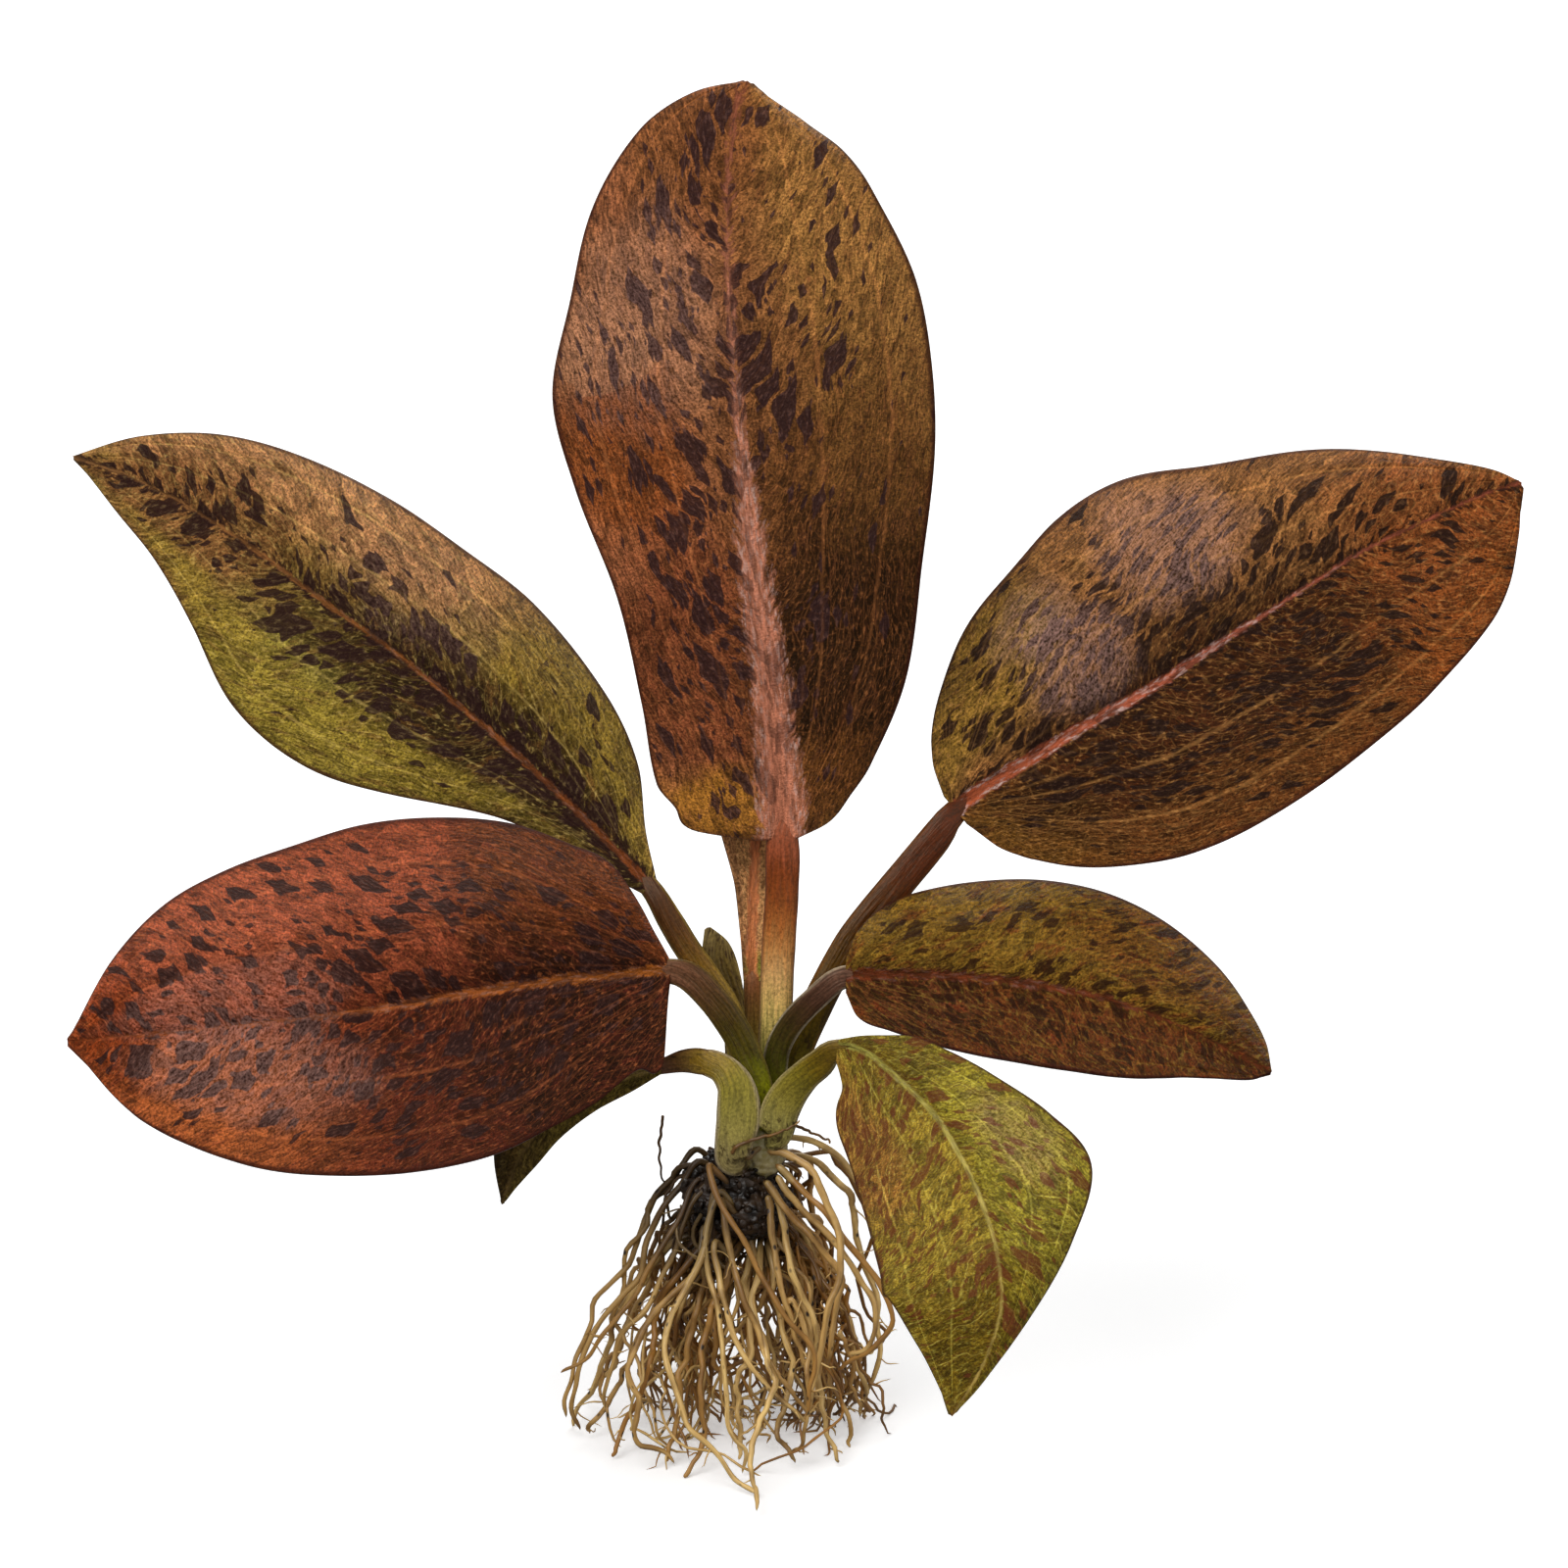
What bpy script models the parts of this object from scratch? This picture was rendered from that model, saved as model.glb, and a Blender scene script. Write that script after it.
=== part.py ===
"""Amazon sword plant: a bare-rooted rosette of spotted leaves, standing on its spread roots.

Every blade and stalk is laid out as it is seen from the front, a little above the horizon:
across is to the right of the crown, up is above it and near is towards the viewer, all in mm.
`seen` turns such a place into the object's own frame, whose origin is on the ground under the crown.
"""

import math

import bmesh
import bpy
from mathutils import Vector

MM = 0.001

# Front view in which the leaves are laid out
VIEW_TILT = math.radians(16)
VIEW_DISTANCE = 700
VIEW_CENTRE = Vector((3.4, 13.0, 89.1))
CROWN_IN_VIEW = (-3.4, -47.2)

# Leaves
BLADE_THICKNESS = 0.65
BLADE_ARCH = 0.10
MARGIN_BEND = 1.5
BLADE_STEPS = 17
BLADE_COLUMNS = 9
STALK_STEPS = 9
STALK_SIDES = 8

# Crown: radius and height of its turned outline
CROWN_OUTLINE = (
    (0.0, 36.4),
    (2.3, 36.8),
    (3.4, 38.5),
    (4.2, 40.5),
    (5.6, 42.6),
    (6.5, 44.4),
    (6.2, 45.7),
    (0.0, 45.9),
)
CROWN_SIDES = 14

# Soil under the crown: it hangs mostly on the left and its skin is a little wavy
SOIL_RADIUS = 7.2
SOIL_LEAN = 3.2
SOIL_WAVE = 0.5
SOIL_BASE = 29.0
SOIL_FOOT_SHARE = 0.7
SOIL_FOOT_HEIGHT = 29.8
SOIL_SHOULDER = 33.5
SOIL_LIP_SHARE = 0.85
SOIL_LIP_WIDTH = 0.7
SOIL_LIP_DROP = 0.8
SOIL_RIM_WIDTH = 0.3
SOIL_RIM = 39.0
SOIL_RIM_LEAN = 2.0
SOIL_GAP = 0.4
SOIL_SIDES = 18

# Root tangle under the soil
TANGLE_TOP = 28.5
TANGLE_TOP_RADIUS = 5.0
TANGLE_BASE_RADIUS = 12.5
TANGLE_FLARE = 0.9
TANGLE_LEAN = 0.25
TANGLE_LUMPS = 0.07
TANGLE_SIDES = 20
TANGLE_STEPS = 6

# Single roots
ROOT_RADIUS = 0.68
ROOT_TIP_RADIUS = 0.35
ROOT_STAND_OFF = 1.1
ROOT_REST = 0.75
ROOT_SETTLE = 1.35
ROOT_STEPS = 9
ROOT_SIDES = 6

MERGE = 0.01

# Blades: across, up, near of the midrib, half-widths left and right of it as seen while
# looking from stalk to tip, and how much nearer than the midrib the two margins are.
BLADES = {
    "tall_blade": (
        (3.2, 39.5, 1.2, 4.0, 2.0, 0.0, 0.0),
        (3.1, 41.5, 1.6, 11.5, 6.5, -1.0, -0.5),
        (2.6, 48.0, 3.0, 16.5, 12.5, -1.5, -1.5),
        (1.5, 60.0, 6.0, 17.8, 19.0, -1.0, -3.0),
        (-0.5, 75.0, 9.5, 19.2, 23.2, 1.5, -4.5),
        (-2.2, 90.0, 12.5, 23.3, 26.5, -1.0, -6.0),
        (-3.2, 102.5, 14.5, 25.4, 27.1, -4.0, -6.0),
        (-4.1, 115.0, 16.0, 22.0, 25.8, -5.0, -5.5),
        (-4.4, 126.5, 16.5, 18.5, 21.5, -4.0, -4.5),
        (-3.8, 136.0, 16.0, 12.5, 16.0, -2.5, -3.0),
        (-2.8, 141.0, 15.5, 6.0, 9.5, -1.0, -1.5),
        (-1.6, 144.0, 15.0, 0.0, 0.0, 0.0, 0.0),
    ),
    "upper_left_blade": (
        (-15.0, 33.0, 1.0, 1.5, 1.2, 0.3, -0.3),
        (-18.9, 37.3, 0.0, 3.5, 4.6, 1.0, -1.4),
        (-24.0, 42.3, -1.5, 5.0, 10.5, 1.5, -3.0),
        (-31.0, 49.0, -3.5, 8.5, 14.5, 2.5, -4.5),
        (-42.0, 58.6, -7.0, 16.3, 17.3, 5.0, -5.0),
        (-51.2, 66.0, -10.0, 20.1, 17.1, 6.0, -5.0),
        (-60.8, 72.9, -13.0, 19.2, 16.8, 6.0, -5.0),
        (-70.2, 80.0, -15.5, 13.7, 14.5, 4.0, -4.5),
        (-79.3, 85.7, -17.5, 8.5, 11.0, 2.5, -3.0),
        (-87.2, 89.7, -19.0, 4.8, 5.9, 1.0, -1.5),
        (-94.6, 92.3, -20.0, 0.0, 0.0, 0.0, 0.0),
    ),
    "lower_left_blade": (
        (-12.3, 21.5, 8.6, 2.0, 1.5, 0.5, -0.5),
        (-14.0, 21.6, 9.2, 13.0, 5.0, 5.0, -1.5),
        (-18.1, 21.1, 10.5, 13.3, 14.5, 5.5, -3.5),
        (-24.1, 20.5, 13.0, 17.2, 18.5, 7.5, -6.0),
        (-31.7, 19.6, 16.5, 20.1, 22.5, 9.5, -8.5),
        (-41.0, 18.1, 21.0, 22.5, 24.8, 11.0, -10.5),
        (-51.1, 16.4, 25.5, 22.8, 25.4, 11.5, -11.5),
        (-61.3, 15.1, 30.0, 21.9, 23.8, 11.0, -11.0),
        (-71.5, 14.0, 34.0, 19.6, 21.3, 9.5, -9.5),
        (-80.8, 13.0, 37.0, 15.2, 17.2, 7.0, -7.0),
        (-88.5, 12.3, 39.0, 9.4, 10.3, 4.0, -4.0),
        (-95.3, 11.7, 40.5, 0.0, 0.0, 0.0, 0.0),
    ),
    "upper_right_blade": (
        (27.0, 43.5, 0.2, 2.5, 2.5, -0.5, 0.5),
        (28.2, 44.6, 0.0, 7.0, 8.0, -1.5, 2.0),
        (31.5, 47.0, -0.5, 13.0, 12.5, -3.0, 3.0),
        (38.0, 51.0, -1.5, 19.5, 18.0, -4.5, 4.5),
        (46.2, 56.0, -3.0, 23.5, 22.1, -6.0, 5.5),
        (54.8, 60.9, -5.0, 26.6, 23.6, -6.5, 6.0),
        (63.9, 66.9, -7.5, 26.3, 24.0, -6.5, 6.0),
        (72.9, 72.7, -10.0, 21.8, 23.1, -5.5, 6.0),
        (82.0, 78.6, -12.5, 16.6, 21.6, -4.0, 5.5),
        (90.9, 83.0, -14.5, 11.0, 18.2, -2.5, 4.5),
        (98.2, 86.4, -16.0, 5.5, 13.2, -1.2, 3.0),
        (102.4, 87.9, -16.7, 2.5, 7.0, -0.5, 1.5),
        (105.0, 88.7, -17.0, 0.0, 0.0, 0.0, 0.0),
    ),
    "right_blade": (
        (11.9, 20.9, 7.2, 2.0, 2.5, -0.5, 1.0),
        (13.5, 20.9, 7.6, 6.0, 5.8, -2.0, 3.0),
        (17.6, 20.9, 8.6, 9.7, 7.5, -4.5, 5.0),
        (24.0, 20.9, 10.6, 12.0, 9.4, -8.0, 7.0),
        (31.0, 20.4, 13.0, 13.6, 10.5, -11.0, 8.5),
        (38.0, 19.6, 15.5, 14.4, 10.8, -12.5, 9.0),
        (45.0, 18.2, 18.0, 14.2, 10.5, -12.5, 8.5),
        (52.0, 16.2, 20.5, 12.6, 9.6, -11.0, 7.5),
        (58.5, 13.7, 22.5, 9.8, 7.5, -8.5, 5.5),
        (64.5, 10.5, 24.0, 6.3, 4.3, -5.0, 3.0),
        (68.5, 8.5, 25.0, 3.2, 2.0, -2.5, 1.5),
        (70.6, 7.6, 25.5, 0.0, 0.0, 0.0, 0.0),
    ),
    "drooping_blade": (
        (10.8, 11.2, 13.8, 0.8, 2.2, 0.0, 0.0),
        (12.6, 11.0, 15.0, 1.4, 5.0, -0.5, 0.5),
        (15.3, 9.8, 18.0, 3.3, 8.6, -1.5, 1.0),
        (17.6, 7.9, 21.0, 5.9, 10.6, -2.0, 1.0),
        (20.7, 5.1, 26.0, 7.5, 12.6, -2.5, 1.5),
        (24.4, 1.2, 32.0, 9.8, 14.2, -3.5, 1.5),
        (27.8, -4.4, 38.0, 13.6, 15.3, -5.0, 1.5),
        (30.8, -10.9, 44.0, 16.0, 16.2, -5.5, 1.5),
        (32.8, -17.8, 49.0, 10.5, 16.4, -4.0, 1.0),
        (33.3, -25.0, 52.0, 4.6, 16.1, -2.0, 0.5),
        (31.5, -31.2, 53.5, 2.0, 13.0, -1.0, 0.0),
        (29.1, -36.0, 54.0, 0.9, 7.0, -0.5, 0.0),
        (26.5, -40.0, 54.0, 0.0, 0.0, 0.0, 0.0),
    ),
    "old_small_blade": (
        (-13.7, 8.2, 3.5, 1.0, 1.0, 0.0, 0.0),
        (-18.0, 7.0, 4.0, 2.2, 4.0, -0.5, -0.5),
        (-24.0, 4.5, 4.5, 2.8, 6.5, -1.0, -1.5),
        (-29.5, 0.5, 5.0, 3.0, 6.5, -1.0, -1.5),
        (-33.0, -4.5, 5.0, 2.4, 4.0, -0.5, -1.0),
        (-35.5, -10.8, 4.5, 0.0, 0.0, 0.0, 0.0),
    ),
    "young_back_blade": (
        (-1.0, 20.0, -5.2, 1.2, 1.2, 0.0, 0.0),
        (-1.0, 27.0, -5.6, 1.7, 1.7, 0.3, 0.3),
        (-0.8, 33.0, -6.1, 2.6, 2.6, 0.5, 0.5),
        (-0.5, 40.0, -7.0, 4.8, 4.8, 1.0, 1.0),
        (0.0, 50.0, -8.5, 8.0, 8.0, 1.5, 1.5),
        (1.0, 62.0, -10.0, 10.5, 10.5, 2.0, 2.0),
        (2.5, 75.0, -11.0, 11.0, 11.0, 2.0, 2.0),
        (4.0, 87.0, -11.5, 8.5, 8.5, 1.5, 1.5),
        (5.5, 96.0, -11.5, 4.0, 4.0, 0.5, 0.5),
        (6.5, 102.0, -11.5, 0.0, 0.0, 0.0, 0.0),
    ),
}

# Stalks and leaf bases: across, up and near of the middle line, width as seen and depth
STALKS = {
    "tall_stalk": (
        (1.4, 4.1, -3.0, 4.0, 3.2),
        (1.9, 9.0, -2.5, 4.3, 3.4),
        (2.3, 16.0, -1.6, 4.5, 3.5),
        (2.6, 24.0, -0.8, 4.7, 3.6),
        (3.1, 32.0, 0.1, 4.4, 3.5),
        (3.2, 38.8, 1.0, 3.6, 2.4),
    ),
    "upper_left_stalk": (
        (-3.0, 2.2, 1.3, 3.6, 2.4),
        (-2.6, 7.5, 1.4, 3.6, 2.6),
        (-2.9, 12.0, 1.8, 3.6, 2.8),
        (-4.4, 16.2, 2.1, 3.7, 2.8),
        (-6.9, 20.2, 2.2, 3.7, 2.8),
        (-9.6, 24.0, 2.0, 3.7, 2.8),
        (-12.2, 28.2, 1.6, 3.6, 2.6),
        (-14.6, 32.3, 1.1, 3.0, 1.8),
    ),
    "lower_left_stalk": (
        (-2.2, 1.1, 5.3, 3.6, 2.2),
        (-1.9, 4.5, 5.6, 3.8, 2.3),
        (-1.6, 8.8, 6.3, 4.0, 2.4),
        (-2.6, 11.9, 6.6, 4.1, 2.6),
        (-4.0, 14.3, 7.0, 4.2, 2.8),
        (-6.3, 17.4, 7.6, 4.2, 2.8),
        (-9.3, 20.4, 8.1, 4.1, 2.6),
        (-11.6, 21.3, 8.4, 3.6, 1.8),
    ),
    "upper_right_stalk": (
        (3.6, 2.5, 0.4, 3.8, 2.3),
        (4.0, 7.0, 0.4, 4.0, 2.5),
        (6.2, 12.8, 0.7, 4.3, 2.8),
        (9.6, 20.0, 1.0, 4.5, 2.8),
        (13.5, 26.5, 1.1, 4.6, 2.8),
        (19.6, 34.0, 0.9, 4.6, 2.8),
        (24.5, 40.0, 0.6, 4.4, 2.6),
        (26.3, 42.6, 0.4, 3.6, 2.0),
    ),
    "right_stalk": (
        (2.6, 1.6, 3.4, 3.0, 2.1),
        (2.2, 6.0, 3.5, 3.2, 2.2),
        (2.5, 10.5, 3.9, 3.3, 2.3),
        (4.6, 14.4, 4.9, 3.4, 2.4),
        (8.0, 17.9, 6.1, 3.4, 2.4),
        (11.2, 20.4, 7.0, 3.2, 1.8),
    ),
    "drooping_stalk": (
        (3.1, -0.6, 7.4, 4.4, 1.6),
        (3.6, 2.6, 8.2, 4.4, 1.8),
        (4.6, 5.0, 9.2, 4.3, 2.0),
        (6.4, 7.0, 10.4, 4.2, 2.2),
        (8.4, 8.7, 11.7, 4.0, 2.2),
        (10.1, 10.3, 13.0, 3.2, 1.8),
    ),
    "old_small_stalk": (
        (-4.6, 1.6, 3.4, 2.6, 0.9),
        (-4.8, 4.5, 3.4, 2.8, 0.9),
        (-5.6, 7.2, 3.3, 3.0, 1.0),
        (-7.6, 9.0, 3.2, 3.2, 1.2),
        (-10.3, 9.0, 3.3, 3.0, 1.3),
        (-13.2, 8.3, 3.5, 2.2, 1.1),
    ),
    "young_back_stalk": (
        (-1.2, 4.3, -6.2, 3.0, 2.0),
        (-1.1, 10.0, -5.7, 2.6, 2.0),
        (-1.0, 19.5, -5.2, 2.4, 1.4),
    ),
    "spear_leaf": (
        (-3.5, 3.1, -1.7, 2.6, 1.8),
        (-3.4, 9.0, -1.6, 2.6, 1.8),
        (-3.6, 15.0, -1.5, 3.2, 1.6),
        (-4.7, 20.0, -1.3, 4.6, 1.4),
        (-6.0, 24.5, -1.0, 4.0, 1.2),
        (-7.2, 27.4, -0.8, 0.8, 0.6),
    ),
    "old_leaf_base": (
        (-2.7, -2.2, 6.7, 5.4, 1.3),
        (-2.7, 1.5, 7.7, 5.7, 1.4),
        (-2.5, 4.6, 8.3, 4.4, 1.3),
        (-2.4, 7.6, 8.8, 1.0, 0.7),
    ),
}

# Single roots: azimuth from the right anticlockwise, height where they leave the middle, reach
# over the ground, spread (small goes out steeply first), fall (large drops late), how far the
# end curls back in and how many degrees it sways
ROOTS = (
    (6, 39.5, 20.0, 0.6, 1.6, 6.0, 6),
    (26, 33.0, 17.5, 0.7, 1.3, 3.0, 4),
    (46, 39.0, 18.5, 0.65, 1.4, 2.5, 5),
    (64, 33.0, 18.0, 0.8, 1.2, 1.0, 3),
    (82, 33.0, 21.0, 0.8, 1.2, 1.0, 4),
    (100, 32.0, 19.0, 0.8, 1.1, 0.0, 3),
    (118, 33.0, 22.0, 0.8, 1.2, 0.0, 4),
    (136, 32.0, 21.0, 0.75, 1.2, 0.0, 2),
    (152, 33.0, 26.0, 0.7, 1.25, 1.0, 3),
    (168, 33.5, 24.5, 0.7, 1.2, 0.0, -3),
    (183, 33.0, 27.0, 0.7, 1.25, 1.0, 3),
    (198, 32.0, 24.0, 0.7, 1.2, 0.0, -2),
    (212, 33.0, 25.0, 0.7, 1.25, 1.0, 3),
    (227, 32.0, 21.0, 0.75, 1.15, 0.0, 4),
    (243, 33.0, 23.0, 0.8, 1.2, 1.0, 4),
    (257, 32.0, 19.0, 0.8, 1.1, 0.0, 4),
    (272, 33.0, 34.0, 1.0, 1.1, 0.0, -3),
    (287, 32.0, 18.5, 0.8, 1.1, 0.0, -4),
    (303, 33.0, 20.0, 0.75, 1.2, 1.0, 3),
    (320, 32.0, 17.5, 0.75, 1.25, 2.0, 5),
    (343, 33.5, 18.5, 0.65, 1.4, 4.0, 8),
)

# Colour, roughness of each material
LEAF_OLIVE = ((0.20, 0.17, 0.05), 0.45)
LEAF_BROWN = ((0.26, 0.11, 0.04), 0.45)
LEAF_RED = ((0.27, 0.05, 0.03), 0.4)
STALK_RED = ((0.42, 0.22, 0.10), 0.5)
STALK_PALE = ((0.45, 0.42, 0.20), 0.5)
ROOT_TAN = ((0.48, 0.32, 0.14), 0.75)
SOIL_BLACK = ((0.03, 0.025, 0.02), 0.9)

FINISHES = {
    "tall_blade": LEAF_BROWN,
    "upper_left_blade": LEAF_OLIVE,
    "lower_left_blade": LEAF_RED,
    "upper_right_blade": LEAF_BROWN,
    "right_blade": LEAF_BROWN,
    "drooping_blade": LEAF_OLIVE,
    "old_small_blade": LEAF_OLIVE,
    "young_back_blade": LEAF_BROWN,
    "tall_stalk": STALK_RED,
    "upper_left_stalk": STALK_RED,
    "lower_left_stalk": STALK_RED,
    "upper_right_stalk": STALK_RED,
    "right_stalk": STALK_RED,
    "drooping_stalk": STALK_PALE,
    "old_small_stalk": STALK_PALE,
    "young_back_stalk": STALK_PALE,
    "spear_leaf": LEAF_OLIVE,
    "old_leaf_base": STALK_PALE,
}


def seen(across, up, near):
    """Place, in mm in the object's frame, that the front view shows there."""
    shrink = 1 - near / VIEW_DISTANCE
    right = (across + CROWN_IN_VIEW[0]) * shrink
    rise = (up + CROWN_IN_VIEW[1]) * shrink
    upward = Vector((0, math.sin(VIEW_TILT), math.cos(VIEW_TILT)))
    towards = Vector((0, -math.cos(VIEW_TILT), math.sin(VIEW_TILT)))
    return VIEW_CENTRE + Vector((right, 0, 0)) + rise * upward + near * towards


def smoothed(rows, steps):
    """Rows read off a smooth curve through the given rows, closer together near both ends."""
    marks = [0.0]
    for before, after in zip(rows, rows[1:]):
        marks.append(marks[-1] + math.dist(before[:3], after[:3]))
    last = len(rows) - 1
    slopes = []
    for index in range(last + 1):
        low = max(index - 1, 0)
        high = min(index + 1, last)
        span = marks[high] - marks[low]
        slopes.append([(b - a) / span for a, b in zip(rows[low], rows[high])])
    result = []
    for step in range(steps):
        even = step / (steps - 1)
        eased = 0.5 - 0.5 * math.cos(math.pi * even)
        mark = marks[-1] * (even + eased) / 2
        index = 0
        while index < last - 1 and marks[index + 1] <= mark:
            index += 1
        span = marks[index + 1] - marks[index]
        t = (mark - marks[index]) / span
        start_weight = 2 * t**3 - 3 * t**2 + 1
        start_pull = (t**3 - 2 * t**2 + t) * span
        end_weight = 3 * t**2 - 2 * t**3
        end_pull = (t**3 - t**2) * span
        row = []
        for column, start in enumerate(rows[index]):
            value = start_weight * start + start_pull * slopes[index][column]
            value += end_weight * rows[index + 1][column] + end_pull * slopes[index + 1][column]
            row.append(value)
        result.append(row)
    return result


def sideways(rows, index):
    """Unit direction, as seen, that points left of the way from stalk to tip."""
    before = rows[max(index - 1, 0)]
    after = rows[min(index + 1, len(rows) - 1)]
    along = Vector((after[0] - before[0], after[1] - before[1])).normalized()
    return Vector((-along.y, along.x))


def grid(columns, rows, place):
    """Sheet of faces whose corner (column, row) lies at place(column, row), given in mm."""
    mesh = bmesh.new()
    bmesh.ops.create_grid(mesh, x_segments=columns - 1, y_segments=rows - 1, size=0.5)
    for vertex in mesh.verts:
        column = round((vertex.co.x + 0.5) * (columns - 1))
        row = round((vertex.co.y + 0.5) * (rows - 1))
        vertex.co = place(column, row) * MM
    bmesh.ops.remove_doubles(mesh, verts=mesh.verts, dist=MERGE * MM)
    return mesh


def close(mesh):
    """Fill the open ends and turn every face outward."""
    bmesh.ops.holes_fill(mesh, edges=[edge for edge in mesh.edges if edge.is_boundary], sides=0)
    bmesh.ops.recalc_face_normals(mesh, faces=mesh.faces)


def finish(name, mesh, colour, roughness):
    """Object with this mesh, smooth and in its own material."""
    data = bpy.data.meshes.new(name)
    mesh.to_mesh(data)
    mesh.free()
    data.shade_smooth()
    material = bpy.data.materials.new(name)
    material.use_nodes = True
    shader = material.node_tree.nodes["Principled BSDF"]
    shader.inputs["Base Color"].default_value = (*colour, 1)
    shader.inputs["Roughness"].default_value = roughness
    shader.inputs["Metallic"].default_value = 0
    data.materials.append(material)
    thing = bpy.data.objects.new(name, data)
    bpy.context.scene.collection.objects.link(thing)
    return thing


def build_blade(name):
    """Thin leaf blade: both halves arch a little between the midrib and the margin."""
    rows = smoothed(BLADES[name], BLADE_STEPS)
    half = (BLADE_COLUMNS - 1) // 2

    def place(column, row):
        across, up, near, left, right, left_near, right_near = rows[row]
        share = (half - column) / half
        width = max(left if share > 0 else right, 0)
        lift = left_near if share > 0 else right_near
        if row == BLADE_STEPS - 1:
            width = 0
            lift = 0
        side = sideways(rows, row) * share * width
        arch = BLADE_ARCH * width * 4 * abs(share) * (1 - abs(share))
        return seen(across + side.x, up + side.y, near + lift * abs(share) ** MARGIN_BEND + arch)

    blade = finish(name, grid(BLADE_COLUMNS, BLADE_STEPS, place), *FINISHES[name])
    shell = blade.modifiers.new("thickness", "SOLIDIFY")
    shell.thickness = BLADE_THICKNESS * MM
    shell.offset = 0


def tube(name, centres, axes, sides, colour_and_roughness):
    """Closed tube with flat ends through the centres, each with its wide and its deep half-axis."""

    def place(column, row):
        turn = 2 * math.pi * column / sides
        wide, deep = axes[row]
        return centres[row] + wide * math.cos(turn) + deep * math.sin(turn)

    mesh = grid(sides + 1, len(centres), place)
    close(mesh)
    finish(name, mesh, *colour_and_roughness)


def build_stalk(name):
    """Stalk or rolled leaf: an oval tube that follows its rows."""
    rows = smoothed(STALKS[name], STALK_STEPS)
    centres = [seen(*row[:3]) for row in rows]
    axes = []
    for index, row in enumerate(rows):
        side = sideways(rows, index)
        wide = (seen(row[0] + side.x, row[1] + side.y, row[2]) - centres[index]).normalized()
        before = centres[max(index - 1, 0)]
        after = centres[min(index + 1, STALK_STEPS - 1)]
        deep = (after - before).cross(wide).normalized()
        axes.append((wide * row[3] / 2, deep * row[4] / 2))
    tube(name, centres, axes, STALK_SIDES, FINISHES[name])


def turned(name, sides, outline_at, colour_and_roughness):
    """Closed body round the upright axis; outline_at(turn) lists (radius, height) in mm."""
    rows = len(outline_at(0))

    def place(column, row):
        turn = 2 * math.pi * (column % sides) / sides
        radius, height = outline_at(turn)[row]
        return Vector((radius * math.cos(turn), radius * math.sin(turn), height))

    mesh = grid(sides + 1, rows, place)
    close(mesh)
    finish(name, mesh, *colour_and_roughness)


def crown_radius(height):
    """Radius of the crown's side at a height."""
    for (low_radius, low), (high_radius, high) in zip(CROWN_OUTLINE[1:], CROWN_OUTLINE[2:]):
        if low <= height <= high:
            return low_radius + (high_radius - low_radius) * (height - low) / (high - low)
    return CROWN_OUTLINE[1][0]


def build_crown():
    """Short upright rhizome, widest where the leaf bases sit on it."""
    turned("crown", CROWN_SIDES, lambda turn: CROWN_OUTLINE, STALK_PALE)


def soil_radius(turn):
    """Widest reach of the soil in a direction."""
    return SOIL_RADIUS - SOIL_LEAN * math.cos(turn) + SOIL_WAVE * math.sin(3 * turn)


def soil_outline(turn):
    """Soil from its bottom out to its rim, then down into the cup that the crown stands in."""
    reach = soil_radius(turn)
    rim = SOIL_RIM - SOIL_RIM_LEAN * math.cos(turn)
    inner = crown_radius(rim) + SOIL_GAP
    lip = max(reach * SOIL_LIP_SHARE, inner + SOIL_LIP_WIDTH)
    cup = CROWN_OUTLINE[1][0] + SOIL_GAP
    cup_floor = CROWN_OUTLINE[0][1] - SOIL_GAP
    return (
        (0, SOIL_BASE),
        (reach * SOIL_FOOT_SHARE, SOIL_FOOT_HEIGHT),
        (reach, SOIL_SHOULDER),
        (lip, rim - SOIL_LIP_DROP),
        (inner + SOIL_RIM_WIDTH, rim),
        (cup, CROWN_OUTLINE[1][1]),
        (0, cup_floor),
    )


def tangle_radius(turn, height):
    """Reach of the root tangle: it widens towards the ground and has shallow lumps."""
    drop = 1 - height / TANGLE_TOP
    radius = TANGLE_TOP_RADIUS + (TANGLE_BASE_RADIUS - TANGLE_TOP_RADIUS) * drop**TANGLE_FLARE
    lean = 1 - TANGLE_LEAN * drop * math.cos(turn)
    return radius * lean * (1 + TANGLE_LUMPS * math.sin(5 * turn + 3 * drop))


def tangle_outline(turn):
    """Tangle from the middle of its flat underside to the middle of its top."""
    outline = [(0, 0)]
    for step in range(TANGLE_STEPS + 1):
        height = TANGLE_TOP * step / TANGLE_STEPS
        outline.append((tangle_radius(turn, height), height))
    outline.append((0, TANGLE_TOP))
    return outline


def build_root(number, azimuth, height, reach, spread, fall, curl, sway):
    """Single root: it leaves the middle, falls along the tangle and ends flat on the ground."""
    start_turn = math.radians(azimuth)
    start_reach = max(crown_radius(height), soil_radius(start_turn)) + ROOT_STAND_OFF
    centres = []
    axes = []
    for step in range(ROOT_STEPS):
        way = step / (ROOT_STEPS - 1)
        turn = start_turn + math.radians(sway) * way**2
        radius = start_reach + (reach - start_reach) * way**spread - curl * way**4
        rise = ROOT_REST + (height - ROOT_REST) * (1 - way**fall) ** ROOT_SETTLE
        centres.append(Vector((radius * math.cos(turn), radius * math.sin(turn), rise)))
    for step, centre in enumerate(centres):
        before = centres[max(step - 1, 0)]
        after = centres[min(step + 1, ROOT_STEPS - 1)]
        wide = Vector((-centre.y, centre.x, 0)).normalized()
        deep = (after - before).cross(wide).normalized()
        way = step / (ROOT_STEPS - 1)
        thick = ROOT_RADIUS + (ROOT_TIP_RADIUS - ROOT_RADIUS) * way
        axes.append((wide * thick, deep * thick))
    tube(f"root_{number:02d}", centres, axes, ROOT_SIDES, ROOT_TAN)


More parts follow.
